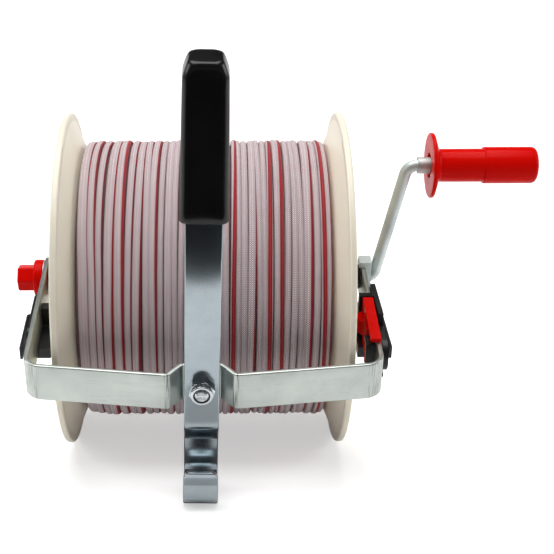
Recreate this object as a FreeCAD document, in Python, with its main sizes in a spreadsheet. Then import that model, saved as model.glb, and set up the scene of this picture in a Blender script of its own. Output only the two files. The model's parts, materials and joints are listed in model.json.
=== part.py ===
import FreeCAD, Part
import math
import os
import re

import Sketcher

# Electric fence reel, standing on its two flanges and on the end of its hook.
# Every piece is drawn in the frame of the yoke: X runs along the drum's axis towards the crank, Z runs up
# the handle bar, -Y points out of the front, and the origin is the middle of the drum's axis.
# All pieces share one placement, which lifts the drum onto the floor and leans the yoke forward until the
# hook touches the floor too. The model's own origin is the floor point under the middle of the drum.

SIZES = [
    ("flange_radius", 130.0, "drum flange, outer radius"),
    ("rim_width", 5.0, "flange rim, along the axis"),
    ("rim_depth", 6.0, "flange rim, along the radius"),
    ("rim_round", 1.6, "flange rim, rounding of its edges"),
    ("web_wall", 3.0, "flange web, wall"),
    ("drum_width", 184.0, "between the flanges, at the core"),
    ("dish_radius", 100.0, "radius where the flange starts to flare"),
    ("dish_depth", 10.0, "how far the rim stands out from the flat of the web"),
    ("hub_radius", 16.0, "flange hub, outer radius"),
    ("rib_width", 2.5, "flange rib, thickness"),
    ("rib_count", 12.0, "flange ribs"),
    ("rib_hub_height", 17.0, "flange rib, height over the web at the hub"),
    ("rib_middle_height", 9.0, "flange rib, height over the web at its bend"),
    ("rib_middle_radius", 58.0, "flange rib, radius of its bend"),
    ("core_radius", 35.0, "core tube, outer radius"),
    ("core_wall", 3.0, "core tube, wall"),
    ("spigot_length", 9.0, "flange spigot inside the core tube"),
    ("spigot_wall", 3.0, "flange spigot, wall"),
    ("slip_gap", 0.15, "radial gap between moulded pieces that slide together"),
    ("running_gap", 0.05, "radial gap of a turning fit"),
    ("face_gap", 0.1, "gap between faces that slide on each other"),
    ("soft_gap", 0.3, "gap between the wound line and its drum"),
    ("screw_circle", 22.5, "clamp screws, radius of their circle"),
    ("screw_radius", 2.5, "clamp screw, shank radius"),
    ("screw_head_radius", 4.2, "clamp screw, head radius"),
    ("screw_head_height", 3.2, "clamp screw, head height"),
    ("screw_tail", 6.0, "clamp screw, shank past the web"),
    ("nut_radius", 4.2, "clamp nut, radius over its corners"),
    ("nut_height", 4.0, "clamp nut, height"),
    ("line_hole_radius", 4.5, "hole for the inner end of the line"),
    ("line_hole_circle", 88.0, "radius at which that hole lies"),
    ("pack_radius", 108.7, "wound line, outer radius"),
    ("pack_shoulder", 6.0, "wound line, slope of its two shoulders"),
    ("shaft_radius", 4.5, "crank shaft and crank rod, radius"),
    ("shaft_end", 143.5, "crank shaft, left end inside the knob"),
    ("crank_foot", 134.3, "crank rod, corner beside the right arm"),
    ("crank_top", 154.0, "crank rod, corner below the handle"),
    ("crank_throw", 98.3, "crank axis to handle axis"),
    ("crank_tip", 245.0, "crank rod, end inside the handle"),
    ("crank_bend", 9.0, "crank rod, radius of its bend below the handle"),
    ("crank_foot_bend", 8.0, "crank rod, radius of its bend beside the right arm"),
    ("drive_pin_radius", 2.0, "drive pin, radius"),
    ("drive_pin_place", 106.0, "drive pin, place along the shaft"),
    ("drive_pin_length", 30.0, "drive pin, length"),
    ("strip_height", 29.2, "yoke strip, height"),
    ("strip_thickness", 3.3, "yoke strip, thickness"),
    ("arm_clearance", 16.2, "flange rim to the inner face of an arm"),
    ("arm_tail", 17.5, "yoke arm, length behind the axis"),
    ("arm_round", 14.0, "yoke arm, rounding of its end"),
    ("corner_inset", 0.85, "how far the yoke's corners stay behind its seat"),
    ("corner_bend", 12.0, "yoke corner, bend radius"),
    ("bow_depth", 12.05, "how far the yoke's front bends stand out from its seat"),
    ("bow_half_width", 24.0, "middle to the front bends"),
    ("seat_reach", 138.85, "axis to the strip behind the bar"),
    ("seat_half_width", 14.4, "middle to the seat's bends"),
    ("seat_bend", 3.0, "bends beside the seat, radius"),
    ("seat_place", -1.2, "middle of the seat and of the bar, along the axis"),
    ("bar_width", 25.0, "handle bar, width"),
    ("bar_thickness", 4.0, "handle bar, thickness"),
    ("bar_tilt", 1.08, "sideways tilt of the bar about its bolt, degrees towards the crank"),
    ("bar_top", 232.0, "handle bar, upper end inside the grip"),
    ("joggle_top", 38.0, "axis down to the bar's upper joggle bend"),
    ("joggle_bottom", 55.0, "axis down to the bar's lower joggle bend"),
    ("joggle_depth", 12.5, "joggle towards the drum"),
    ("joggle_bend", 8.0, "joggle bends, radius"),
    ("hook_bottom", 95.5, "axis down to the middle of the hook's bottom"),
    ("hook_width", 36.5, "hook, between the middles of its two legs"),
    ("hook_bend", 17.0, "hook, bend radius"),
    ("hook_tip", 61.6, "axis down to the end of the hook"),
    ("hook_round", 5.0, "hook, rounding of its end"),
    ("bolt_drop", 1.9, "axis down to the frame bolt"),
    ("bolt_radius", 5.0, "frame bolt, shank radius"),
    ("bolt_gap", 0.25, "frame bolt, radial gap in its holes"),
    ("bolt_tail", 10.6, "frame bolt, length past the bar's face"),
    ("bolt_chamfer", 1.1, "frame bolt, chamfer of its end"),
    ("hex_half", 8.5, "frame bolt and nut, half across the flats"),
    ("bolt_head", 6.0, "frame bolt, head height"),
    ("washer_radius", 10.0, "frame washer, outer radius"),
    ("washer_thickness", 1.6, "frame washer, thickness"),
    ("nut_hex_height", 7.0, "frame nut, height of its hexagon"),
    ("nut_turn", 12.0, "frame nut, turn of its hexagon, degrees"),
    ("collar_height", 3.2, "frame nut, height of its collar"),
    ("collar_radius", 8.0, "frame nut, outer radius of its collar"),
    ("collar_round", 0.9, "frame nut, rounding of its collar"),
    ("insert_radius", 6.0, "nut insert, outer radius"),
    ("insert_height", 2.6, "nut insert, height"),
    ("grip_bottom", 134.0, "axis up to the grip's lower end"),
    ("grip_flare", 140.0, "axis up to where the grip's lip ends"),
    ("grip_shoulder", 232.5, "axis up to the grip's shoulder"),
    ("grip_top", 242.6, "axis up to the grip's top"),
    ("grip_lip_width", 32.4, "grip, width at its lip"),
    ("grip_lip_depth", 28.6, "grip, depth at its lip"),
    ("grip_lower_width", 31.8, "grip, width above its lip"),
    ("grip_lower_depth", 28.2, "grip, depth above its lip"),
    ("grip_upper_width", 28.6, "grip, width at its shoulder"),
    ("grip_upper_depth", 27.0, "grip, depth at its shoulder"),
    ("grip_top_width", 21.8, "grip, width at its top"),
    ("grip_top_depth", 25.5, "grip, depth at its top"),
    ("grip_round", 6.0, "grip, rounding of its long edges"),
    ("grip_top_round", 3.0, "grip, rounding of its top edge"),
    ("bush_wall", 3.4, "shaft bush, wall"),
    ("bush_flange_radius", 9.6, "shaft bush, flange radius"),
    ("bush_flange", 1.5, "shaft bush, flange thickness"),
    ("bush_tail", 0.3, "shaft bush, length past the arm"),
    ("disc_radius", 14.5, "friction disc, outer radius"),
    ("disc_thickness", 3.0, "friction disc, thickness"),
    ("spring_radius", 13.0, "cup spring, outer radius"),
    ("spring_sheet", 1.0, "cup spring, sheet thickness"),
    ("brake_washer_radius", 13.6, "brake washer, outer radius"),
    ("knob_radius", 14.5, "brake knob, flange radius"),
    ("knob_flange", 7.4, "brake knob, flange thickness"),
    ("knob_seat", 1.0, "left arm to the brake knob, with the washer between"),
    ("knob_hex_half", 9.4, "brake knob, half across the flats of its boss"),
    ("knob_turn", 44.7, "brake knob, turn of its hexagon, degrees"),
    ("knob_boss", 13.1, "brake knob, length of its boss"),
    ("knob_round", 1.5, "brake knob, rounding of its edges"),
    ("plate_thickness", 4.5, "bearing plate on the right arm, thickness"),
    ("plate_front", 11.0, "bearing plate, length in front of the axis"),
    ("plate_back", 11.0, "bearing plate, length behind the axis"),
    ("plate_shoulder", 3.0, "axis up to where the plate's rear corner is cut off"),
    ("plate_lip_back", 0.5, "bearing plate, length of its lip behind the axis"),
    ("plate_lip", 4.6, "bearing plate, lip above the arm"),
    ("plate_over", 1.7, "bearing plate, lip past the arm's inner face"),
    ("sleeve_start", 161.5, "handle sleeve, its inner end"),
    ("sleeve_radius", 6.2, "handle sleeve, outer radius"),
    ("handle_start", 170.1, "handle, inner face of its disc"),
    ("handle_disc", 24.6, "handle disc, radius"),
    ("handle_disc_width", 2.8, "handle disc, thickness of its rim"),
    ("handle_neck", 177.0, "handle, where the grip leaves the disc"),
    ("handle_step", 210.5, "handle, step in its grip"),
    ("handle_end", 250.6, "handle, outer end"),
    ("handle_slim", 12.5, "handle grip, radius up to its step"),
    ("handle_radius", 13.8, "handle grip, radius past its step"),
    ("handle_round", 4.0, "handle, rounding of its outer end"),
    ("handle_disc_round", 1.2, "handle disc, rounding of its rim"),
    ("handle_mouth", 9.4, "handle, radius of the recess in its disc"),
    ("handle_mouth_depth", 5.0, "handle, depth of that recess"),
    ("handle_wall", 3.0, "handle, end wall"),
    ("ring_radius", 7.6, "handle ring, outer radius"),
    ("ring_width", 1.2, "handle ring, thickness"),
    ("ring_inset", 3.0, "handle ring, from the end of the rod"),
    ("clip_wall", 3.8, "arm clip, outer wall"),
    ("clip_floor", 3.0, "arm clip, wall under the arm"),
    ("clip_inner_wall", 9.0, "arm clip, inner wall"),
    ("clip_inner_top", 9.0, "axis down to the top of the inner wall"),
    ("clip_outer_top", 7.0, "axis up to the top of the outer wall"),
    ("clip_back", 28.0, "axis to the back of the clip"),
    ("clip_ramp", 10.0, "arm clip, length of its outer ramp"),
    ("clip_floor_back", 46.0, "axis to the back of the clip's floor"),
    ("clip_floor_front", 86.0, "axis to the front of the clip's floor"),
    ("clip_front", 88.0, "axis to the front of the left clip's outer wall"),
    ("clip_right_front", 110.0, "axis to the front of the right clip's outer wall"),
    ("clip_splay", 3.0, "right arm clip, how far its outer wall leans out at its front"),
    ("brow_front", 80.0, "axis to the front of the right clip's brow"),
    ("brow_top", 17.0, "axis up to the top of the brow"),
    ("brow_arch", 5.0, "right arm clip, length of the brow's arch over the arm"),
    ("clip_stud_depth", 6.5, "arm clip, stud past the arm's inner face"),
    ("clip_stud_back", 48.0, "axis to the back of the stud"),
    ("clip_stud_front", 56.0, "axis to the front of the stud"),
    ("clip_round", 6.0, "left arm clip, rounding of its front end"),
    ("clip_right_round", 12.0, "right arm clip, rounding of its front end"),
    ("tab_slot", 1.1, "arm clip, slot behind its finger tab"),
    ("tab_wall", 1.9, "arm clip, finger tab"),
    ("tab_back", 58.3, "axis to the root of the finger tab"),
    ("tab_front", 105.0, "axis to the end of the finger tab"),
    ("tab_half_height", 5.0, "finger tab, half its height"),
    ("lever_wall", 3.8, "lock lever, wall beside the arm"),
    ("lever_gap", 0.4, "lock lever to the arm"),
    ("lever_back", 59.0, "axis to the back of the lever"),
    ("lever_bottom", 8.5, "axis down to the lever's lower edge"),
    ("lever_over", 3.0, "lock lever, thickness of its cap over the arm"),
    ("lever_cap_front", 114.0, "axis to the front of the lever's cap"),
    ("lever_pin_top", 4.0, "axis up to the lever's upper edge beside its pin"),
    ("lever_notch", 97.2, "axis to the notch in which the upper ear lies"),
    ("pawl_depth", 5.2, "lock pawl, past the lever's face"),
    ("pawl_front", 76.0, "axis to the front of the pawl"),
    ("pawl_tip_back", 64.0, "axis to the back of the pawl's tip"),
    ("pawl_tip_front", 68.0, "axis to the front of the pawl's tip"),
    ("pawl_half_height", 6.0, "lock pawl, half its height"),
    ("ridge_depth", 1.3, "lever ridge, height"),
    ("ridge_width", 1.8, "lever ridge, width"),
    ("ridge_pitch", 4.0, "lever ridges, pitch"),
    ("ridge_count", 5.0, "lever ridges"),
    ("ridge_start", 79.0, "axis to the first ridge"),
    ("pin_place", 104.0, "axis to the lock pin"),
    ("pin_radius", 1.5, "lock pin, radius"),
    ("lever_boss_radius", 3.2, "lock lever, boss around its pin"),
    ("ear_half_length", 6.0, "lock pin to the back of its ears"),
    ("ear_wall", 2.8, "lock pin's ears, thickness"),
    ("ear_gap", 3.6, "lever up to the upper ear, where the spring sits"),
    ("coil_height", 2.5, "lock spring, height between the wire's middles"),
    ("coil_wire", 0.4, "lock spring, wire radius"),
    ("coil_radius", 2.6, "lock spring, radius to the wire's middle"),
    ("coil_pitch", 1.05, "lock spring, pitch"),
]

# Places that follow from the sizes. Each one is a formula over sizes and earlier places.
PLACES = [
    ("web_face", "drum_width / 2", "inner face of a flange's web"),
    ("rim_face", "web_face + dish_depth", "inner face of a flange's rim"),
    ("rim_outer", "rim_face + rim_width", "outer face of a flange's rim"),
    ("arm_inner", "rim_outer + arm_clearance", "inner face of a yoke arm"),
    ("arm_outer", "arm_inner + strip_thickness", "outer face of a yoke arm"),
    ("arm_middle", "arm_inner + strip_thickness / 2", "middle of a yoke arm"),
    ("arm_top", "strip_height / 2", "upper edge of the strip"),
    ("corner_reach", "seat_reach - corner_inset", "axis to the yoke's corners"),
    ("bow_reach", "seat_reach + bow_depth", "axis to the yoke's front bends"),
    ("bush_face", "arm_inner - bush_flange", "inner face of a bush's flange"),
    ("hub_end", "bush_face - disc_thickness - face_gap", "outer end of a flange's hub"),
    ("bore_radius", "shaft_radius + running_gap", "bore that the shaft turns in"),
    ("bush_radius", "bore_radius + bush_wall", "bush and the hole that it fills"),
    ("seat_back", "seat_reach - strip_thickness / 2", "back of the strip behind the bar"),
    ("bar_back", "seat_reach + strip_thickness / 2", "back face of the bar"),
    ("bar_middle", "bar_back + bar_thickness / 2", "middle of the bar's thickness"),
    ("bar_front", "bar_back + bar_thickness", "front face of the bar"),
    ("hook_back", "bar_middle - joggle_depth", "middle of the hook's back leg"),
    ("hook_front", "hook_back + hook_width", "middle of the hook's free leg"),
    ("washer_back", "seat_back - washer_thickness", "seat of the bolt's head"),
    ("knob_face", "arm_outer + knob_seat", "face of the knob beside the arm"),
    ("knob_step", "knob_face + knob_flange", "outer face of the knob's flange"),
    ("knob_end", "knob_step + knob_boss", "outer end of the knob"),
    ("clip_inner", "arm_outer + face_gap", "inner face of a clip's outer wall"),
    ("clip_outer", "clip_inner + clip_wall", "outer face of a clip"),
    ("clip_floor_top", "arm_top + face_gap", "axis down to the top of a clip's floor, or up to the arch"),
    ("clip_bottom", "clip_floor_top + clip_floor", "underside of a clip"),
    ("lip_outer", "arm_inner - face_gap", "face of a clip's inner wall beside the arm"),
    ("lip_inner", "lip_outer - clip_inner_wall", "face of a clip's inner wall beside the drum"),
    ("tab_root", "clip_outer - clip_wall / 2", "finger tab's root inside the clip's outer wall"),
    ("tab_inner", "clip_outer + tab_slot", "inner face of the finger tab"),
    ("tab_outer", "tab_inner + tab_wall", "outer face of the finger tab"),
    ("tab_back_end", "tab_back + tab_slot + tab_wall", "axis to the bend of the finger tab"),
    ("tab_root_end", "tab_back + tab_slot + 2 * tab_wall", "axis to the front of the finger tab's root"),
    ("lever_outer", "arm_inner - lever_gap", "face of the lever beside the arm"),
    ("lever_face", "lever_outer - lever_wall", "ridged face of the lever"),
    ("lever_top", "arm_top + lever_gap", "underside of the lever's cap"),
    ("pin_x", "lever_outer - lever_boss_radius", "lock pin, along the axis"),
    ("ear_bottom", "lever_pin_top + ear_gap", "underside of the upper ear"),
    ("ear_top", "ear_bottom + ear_wall", "top of the upper ear"),
    ("ear_end", "pin_x - lever_boss_radius", "end of the ears beside the drum"),
    ("ear_back", "pin_place - ear_half_length", "axis to the back of the ears"),
    ("post_back", "pin_place + lever_boss_radius + 2 * lever_gap", "axis to the back of the ears' post"),
    ("post_front", "post_back + ear_wall", "axis to the front of the ears' post"),
    ("lever_middle", "lever_face + lever_wall / 2", "middle of the lever's wall"),
    ("cap_top", "lever_top + lever_over", "top of the lever's cap over the arm"),
    ("plate_outer", "arm_outer + plate_thickness", "outer face of the bearing plate"),
    ("plate_inner", "arm_inner - plate_over", "end of the bearing plate's lip beside the drum"),
    ("plate_top", "arm_top + plate_lip", "top of the bearing plate's lip"),
    ("spigot_outer", "core_radius - core_wall - slip_gap", "outer radius of a flange's spigot"),
    ("web_outer", "web_face + web_wall", "outer face of a flange's web"),
    ("web_middle", "web_face + web_wall / 2", "middle of a flange's web"),
    ("hub_middle", "hub_radius - web_wall / 2", "radius inside a flange's hub where its ribs start"),
    ("rim_middle", "flange_radius - rim_depth / 2", "radius inside a flange's rim where its ribs end"),
    ("lip_radius", "flange_radius - rim_depth", "inner radius of a flange's rim"),
    ("handle_bore", "sleeve_radius + running_gap", "bore of the handle"),
    ("ring_start", "crank_tip - ring_inset - ring_width", "inner face of the handle ring"),
    (
        "tip_drop",
        "bolt_drop + (hook_bottom - hook_bend - bolt_drop) * cos(bar_tilt * 1deg)"
        " + bar_width / 2 * sin(bar_tilt * 1deg)",
        "axis down to the centre of the hook's bend, at the lower edge of the tilted bar",
    ),
    ("tip_reach", "hook_front - hook_bend", "axis to the centre of the hook's bend"),
    ("tip_radius", "hook_bend + bar_thickness / 2", "outer radius of the hook's bend"),
    (
        "lean",
        "asin((flange_radius - tip_radius) / sqrt(tip_drop ^ 2 + tip_reach ^ 2)) - atan(tip_drop / tip_reach)",
        "forward lean at which the hook touches the floor",
    ),
]

doc = FreeCAD.newDocument("FenceReel")


def make_sheet(name, rows):
    """Spreadsheet with a meaning in column A and an aliased cell in column B."""
    sheet = doc.addObject("Spreadsheet::Sheet", name)
    for row, (alias, content, meaning) in enumerate(rows, start=1):
        sheet.set(f"A{row}", meaning)
        sheet.set(f"B{row}", str(content))
        sheet.setAlias(f"B{row}", alias)
    doc.recompute()
    return sheet


size_names = {alias for alias, content, meaning in SIZES}
place_names = {alias for alias, content, meaning in PLACES}


def bound(text):
    """Expression over the two sheets, written with the plain names of sizes and places."""
    def named(word):
        if word.group() in size_names:
            return "Sizes." + word.group()
        if word.group() in place_names:
            return "Places." + word.group()
        return word.group()
    return re.sub(r"[a-z_]+", named, str(text))


sizes = make_sheet("Sizes", SIZES)
places = make_sheet("Places", [(alias, "=" + bound(formula), meaning) for alias, formula, meaning in PLACES])


def number(text):
    """Present value of an expression."""
    value = sizes.evalExpression(bound(text))
    return float(getattr(value, "Value", value))


sub_parts = []


LEANING = "placement(vector(0; 0; flange_radius); rotation(vector(1; 0; 0); lean))"
TILT = "rotation(vector(0; 1; 0); bar_tilt * 1deg)"
TILTED = f"placement(vector(seat_place; 0; 0); {TILT}; vector(0; 0; -bolt_drop))"


def register(piece, place=LEANING):
    """Give a finished sub-part the common placement of the leaning reel."""
    piece.setExpression("Placement", bound(place))
    sub_parts.append(piece)
    return piece


def register_tilted(piece):
    """Placement of a piece that is drawn on the middle plane and tilts sideways with the bar."""
    return register(piece, f"{LEANING} * {TILTED}")


def new_body(name):
    body = doc.addObject("PartDesign::Body", name)
    body.Label = name
    return body


def new_sketch(body, plane, offset="0"):
    """Sketch on an origin plane of the body, moved along the plane's normal by the offset."""
    sketch = body.newObject("Sketcher::SketchObject", body.Name + "_sketch")
    support = next(item for item in body.Origin.OriginFeatures if item.Role == plane)
    sketch.AttachmentSupport = [(support, "")]
    sketch.MapMode = "FlatFace"
    sketch.setExpression("AttachmentOffset.Base.z", bound(offset))
    return sketch


def pin_point(sketch, geometry, point, place):
    """Bind both coordinates of a point of the sketch."""
    for kind, text in zip(("DistanceX", "DistanceY"), place):
        rule = Sketcher.Constraint(kind, -1, 1, geometry, point, number(text))
        index = sketch.addConstraint(rule)
        sketch.setExpression(f"Constraints[{index}]", bound(text))


def vector(place):
    return FreeCAD.Vector(number(place[0]), number(place[1]), 0)


def polygon(sketch, corners):
    """Closed outline of straight sides through bound corners."""
    first = sketch.GeometryCount
    count = len(corners)
    for side in range(count):
        line = Part.LineSegment(vector(corners[side]), vector(corners[(side + 1) % count]))
        sketch.addGeometry(line, False)
    for side in range(count):
        following = first + (side + 1) % count
        sketch.addConstraint(Sketcher.Constraint("Coincident", first + side, 2, following, 1))
    for side, corner in enumerate(corners):
        pin_point(sketch, first + side, 1, corner)


def circle(sketch, centre, radius):
    ring = Part.Circle(vector(centre), FreeCAD.Vector(0, 0, 1), number(radius))
    index = sketch.addGeometry(ring, False)
    pin_point(sketch, index, 3, centre)
    rule = sketch.addConstraint(Sketcher.Constraint("Radius", index, number(radius)))
    sketch.setExpression(f"Constraints[{rule}]", bound(radius))


def hexagon(sketch, centre, half_flats, turned="0"):
    """Hexagon with its first corner level with its centre, turned by a number of degrees."""
    corner = f"{half_flats} / cos(30deg)"
    u, v = centre
    corners = []
    for step in range(0, 360, 60):
        angle = f"(({step} + {turned}) * 1deg)"
        corners.append((f"{u} + {corner} * cos{angle}", f"{v} + {corner} * sin{angle}"))
    polygon(sketch, corners)


def bent_path(sketch, corners, radii):
    """Open path of straight runs joined by tangent arcs. The corners are where the runs would meet."""
    points = [vector(corner) for corner in corners]
    last = len(points) - 1
    starts = [points[0]]
    ends = []
    arcs = []
    for index in range(1, last):
        inward = (points[index] - points[index - 1]).normalize()
        outward = (points[index + 1] - points[index]).normalize()
        turn = inward.getAngle(outward)
        radius = number(radii[index - 1])
        reach = radius * math.tan(turn / 2)
        enter = points[index] - inward * reach
        leave = points[index] + outward * reach
        middle_way = (outward - inward).normalize()
        centre_distance = math.hypot(radius, reach)
        middle = points[index] + middle_way * (centre_distance - radius)
        arcs.append((enter, middle, leave, inward.cross(outward).z > 0))
        ends.append(enter)
        starts.append(leave)
    ends.append(points[last])
    lines = []
    for start, end in zip(starts, ends):
        lines.append(sketch.addGeometry(Part.LineSegment(start, end), False))
    for index, (enter, middle, leave, left_turn) in enumerate(arcs):
        arc = sketch.addGeometry(Part.Arc(enter, middle, leave), False)
        entry, leaving = (1, 2) if left_turn else (2, 1)
        before, after = lines[index], lines[index + 1]
        sketch.addConstraint(Sketcher.Constraint("Tangent", before, 2, arc, entry))
        sketch.addConstraint(Sketcher.Constraint("Tangent", arc, leaving, after, 1))
        rule = sketch.addConstraint(Sketcher.Constraint("Radius", arc, number(radii[index])))
        sketch.setExpression(f"Constraints[{rule}]", bound(radii[index]))
        corner = sketch.addGeometry(Part.Point(points[index + 1]), True)
        sketch.addConstraint(Sketcher.Constraint("PointOnObject", corner, 1, before))
        sketch.addConstraint(Sketcher.Constraint("PointOnObject", corner, 1, after))
        pin_point(sketch, corner, 1, corners[index + 1])
    pin_point(sketch, lines[0], 1, corners[0])
    pin_point(sketch, lines[-1], 2, corners[last])


def rounded_rectangle(sketch, centre, width, depth, radius):
    """Rectangle with round corners, each arc bound by its centre."""
    u, v = (number(text) for text in centre)
    half_u = number(width) / 2
    half_v = number(depth) / 2
    corner = number(radius)
    signs = [(1, 1), (-1, 1), (-1, -1), (1, -1)]
    arcs = []
    for turn, (side_u, side_v) in enumerate(signs):
        middle = FreeCAD.Vector(u + side_u * (half_u - corner), v + side_v * (half_v - corner), 0)
        ring = Part.Circle(middle, FreeCAD.Vector(0, 0, 1), corner)
        start = turn * math.pi / 2
        arcs.append(sketch.addGeometry(Part.ArcOfCircle(ring, start, start + math.pi / 2), False))
    for turn, arc in enumerate(arcs):
        following = arcs[(turn + 1) % 4]
        start = sketch.Geometry[arc].EndPoint
        end = sketch.Geometry[following].StartPoint
        line = sketch.addGeometry(Part.LineSegment(start, end), False)
        sketch.addConstraint(Sketcher.Constraint("Tangent", arc, 2, line, 1))
        sketch.addConstraint(Sketcher.Constraint("Tangent", line, 2, following, 1))
    for arc, (side_u, side_v) in zip(arcs, signs):
        rule = sketch.addConstraint(Sketcher.Constraint("Radius", arc, corner))
        sketch.setExpression(f"Constraints[{rule}]", bound(radius))
        reach_u = f"{side_u} * (({width}) / 2 - {radius})"
        reach_v = f"{side_v} * (({depth}) / 2 - {radius})"
        pin_point(sketch, arc, 3, (f"{centre[0]} + {reach_u}", f"{centre[1]} + {reach_v}"))


def pad(body, sketch, length, symmetric=False, backward=False):
    feature = body.newObject("PartDesign::Pad", body.Name + "_pad")
    feature.Profile = sketch
    feature.Reversed = backward
    if symmetric:
        feature.SideType = "Symmetric"
    feature.setExpression("Length", bound(length))
    return feature


def pocket(body, sketch, length, symmetric=False, forward=False):
    """Cut against the sketch's normal, or along it if forward, and make sure that it cuts."""
    doc.recompute()
    volume = body.Shape.Volume
    feature = body.newObject("PartDesign::Pocket", body.Name + "_pocket")
    feature.Profile = sketch
    feature.Reversed = forward
    if symmetric:
        feature.SideType = "Symmetric"
    feature.setExpression("Length", bound(length))
    doc.recompute()
    if body.Shape.Volume >= volume:
        raise RuntimeError(f"{feature.Name} cuts nothing")
    return feature


def prism(body, plane, offset, corners, length, symmetric=False):
    sketch = new_sketch(body, plane, offset)
    polygon(sketch, corners)
    return pad(body, sketch, length, symmetric)


def disc(body, plane, offset, centre, radius, length, backward=False):
    sketch = new_sketch(body, plane, offset)
    circle(sketch, centre, radius)
    return pad(body, sketch, length, backward=backward)


def ring_pad(body, plane, offset, centre, outer, inner, length):
    sketch = new_sketch(body, plane, offset)
    circle(sketch, centre, outer)
    circle(sketch, centre, inner)
    return pad(body, sketch, length)


def bore(body, plane, centre, radius, reach):
    """Round hole that runs the reach to both sides of the plane."""
    sketch = new_sketch(body, plane)
    circle(sketch, centre, radius)
    return pocket(body, sketch, f"2 * ({reach})", symmetric=True)


def turn(body, profile, height="0"):
    """Revolve a profile of places along X and radii about the line along X at the given height."""
    sketch = new_sketch(body, "XY_Plane", height)
    polygon(sketch, profile)
    feature = body.newObject("PartDesign::Revolution", body.Name + "_turn")
    feature.Profile = sketch
    feature.ReferenceAxis = (sketch, ["H_Axis"])
    return feature


def sweep(body, profile, path):
    feature = body.newObject("PartDesign::AdditivePipe", body.Name + "_sweep")
    feature.Profile = profile
    feature.Spine = (path, [])
    return feature


def dress(body, kind, size, chosen):
    """Fillet or Chamfer on the edges of the present tip that pass the test."""
    doc.recompute()
    edges = [f"Edge{index}" for index, edge in enumerate(body.Tip.Shape.Edges, start=1) if chosen(edge)]
    if not edges:
        raise RuntimeError(f"{body.Name} has no edge to dress")
    base = body.Tip
    feature = body.newObject("PartDesign::" + kind, body.Name + "_" + kind.lower())
    feature.Base = (base, edges)
    feature.setExpression("Radius" if kind == "Fillet" else "Size", bound(size))
    return feature


def near(value, text):
    return abs(value - number(text)) < 1e-4


def is_circle(edge, radius, place=None):
    """Round edge of the given radius, at the given place along X if one is given."""
    if edge.Curve.TypeId != "Part::GeomCircle" or not near(edge.Curve.Radius, radius):
        return False
    return place is None or near(edge.Curve.Center.x, place)


def is_straight(edge, axis):
    """Straight edge along an axis."""
    if edge.Curve.TypeId != "Part::GeomLine":
        return False
    return abs(edge.tangentAt(edge.FirstParameter).dot(axis)) > 0.999


ALONG_X = FreeCAD.Vector(1, 0, 0)
ALONG_Y = FreeCAD.Vector(0, 1, 0)


# Drum

def drum_flange(name, side):
    """Dished flange with a rim, a hub, a spigot for the core and ribs on its outer face."""
    body = new_body(name)
    outline = [
        ("web_face", "bore_radius"),
        ("web_face", "spigot_outer - spigot_wall"),
        ("web_face - spigot_length", "spigot_outer - spigot_wall"),
        ("web_face - spigot_length", "spigot_outer"),
        ("web_face", "spigot_outer"),
        ("web_face", "dish_radius"),
        ("rim_face", "lip_radius"),
        ("rim_face", "flange_radius"),
        ("rim_outer", "flange_radius"),
        ("rim_outer", "lip_radius"),
        ("rim_face + web_wall", "lip_radius"),
        ("web_outer", "dish_radius"),
        ("web_outer", "hub_radius"),
        ("hub_end", "hub_radius"),
        ("hub_end", "bore_radius"),
    ]
    turn(body, [(f"{side} * ({place})", radius) for place, radius in outline])
    dress(body, "Fillet", "rim_round", lambda edge: is_circle(edge, "flange_radius"))
    rib_sketch = new_sketch(body, "XY_Plane")
    half_step = number("180 / rib_count")
    rib_sketch.AttachmentOffset = FreeCAD.Placement(FreeCAD.Vector(), FreeCAD.Rotation(ALONG_X, half_step))
    rib_sketch.setExpression("AttachmentOffset.Rotation.Angle", bound("180deg / rib_count"))
    rib = [
        ("web_middle", "hub_middle"),
        ("web_outer + rib_hub_height", "hub_middle"),
        ("web_outer + rib_middle_height", "rib_middle_radius"),
        ("rim_outer - rim_round", "rim_middle"),
        ("web_middle + dish_depth", "rim_middle"),
        ("web_middle", "dish_radius"),
    ]
    polygon(rib_sketch, [(f"{side} * ({place})", radius) for place, radius in rib])
    rib_pad = pad(body, rib_sketch, "rib_width", symmetric=True)
    doc.recompute()
    pattern = body.newObject("PartDesign::PolarPattern", name + "_ribs")
    pattern.Originals = [rib_pad]
    pattern.Axis = (next(item for item in body.Origin.OriginFeatures if item.Role == "X_Axis"), [""])
    pattern.Angle = 360
    pattern.setExpression("Occurrences", bound("rib_count"))
    body.Tip = pattern
    doc.recompute()
    holes = new_sketch(body, "YZ_Plane")
    for centre in screw_places():
        circle(holes, centre, "screw_radius + slip_gap")
    circle(holes, ("line_hole_circle", "0"), "line_hole_radius")
    pocket(body, holes, "2 * rim_outer", symmetric=True)
    if side == 1:
        bore(body, "XY_Plane", ("drive_pin_place", "0"), "drive_pin_radius", "hub_radius")
    return register(body)


def screw_places():
    """Four places between the flange's ribs, as coordinates across the axis."""
    return [("screw_circle", "0"), ("0", "screw_circle"), ("-screw_circle", "0"), ("0", "-screw_circle")]


def drum_core():
    body = new_body("drum_core")
    turn(body, [
        ("-web_face", "core_radius - core_wall"),
        ("web_face", "core_radius - core_wall"),
        ("web_face", "core_radius"),
        ("-web_face", "core_radius"),
    ])
    return register(body)


def wound_line():
    """Closed solid of the wound electric rope, with rounded shoulders."""
    body = new_body("wound_line")
    turn(body, [
        ("-(web_face - soft_gap)", "core_radius + soft_gap"),
        ("web_face - soft_gap", "core_radius + soft_gap"),
        ("web_face - soft_gap", "pack_radius"),
        ("-(web_face - soft_gap)", "pack_radius"),
    ])
    dress(body, "Fillet", "pack_shoulder", lambda edge: is_circle(edge, "pack_radius"))
    return register(body)


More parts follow.
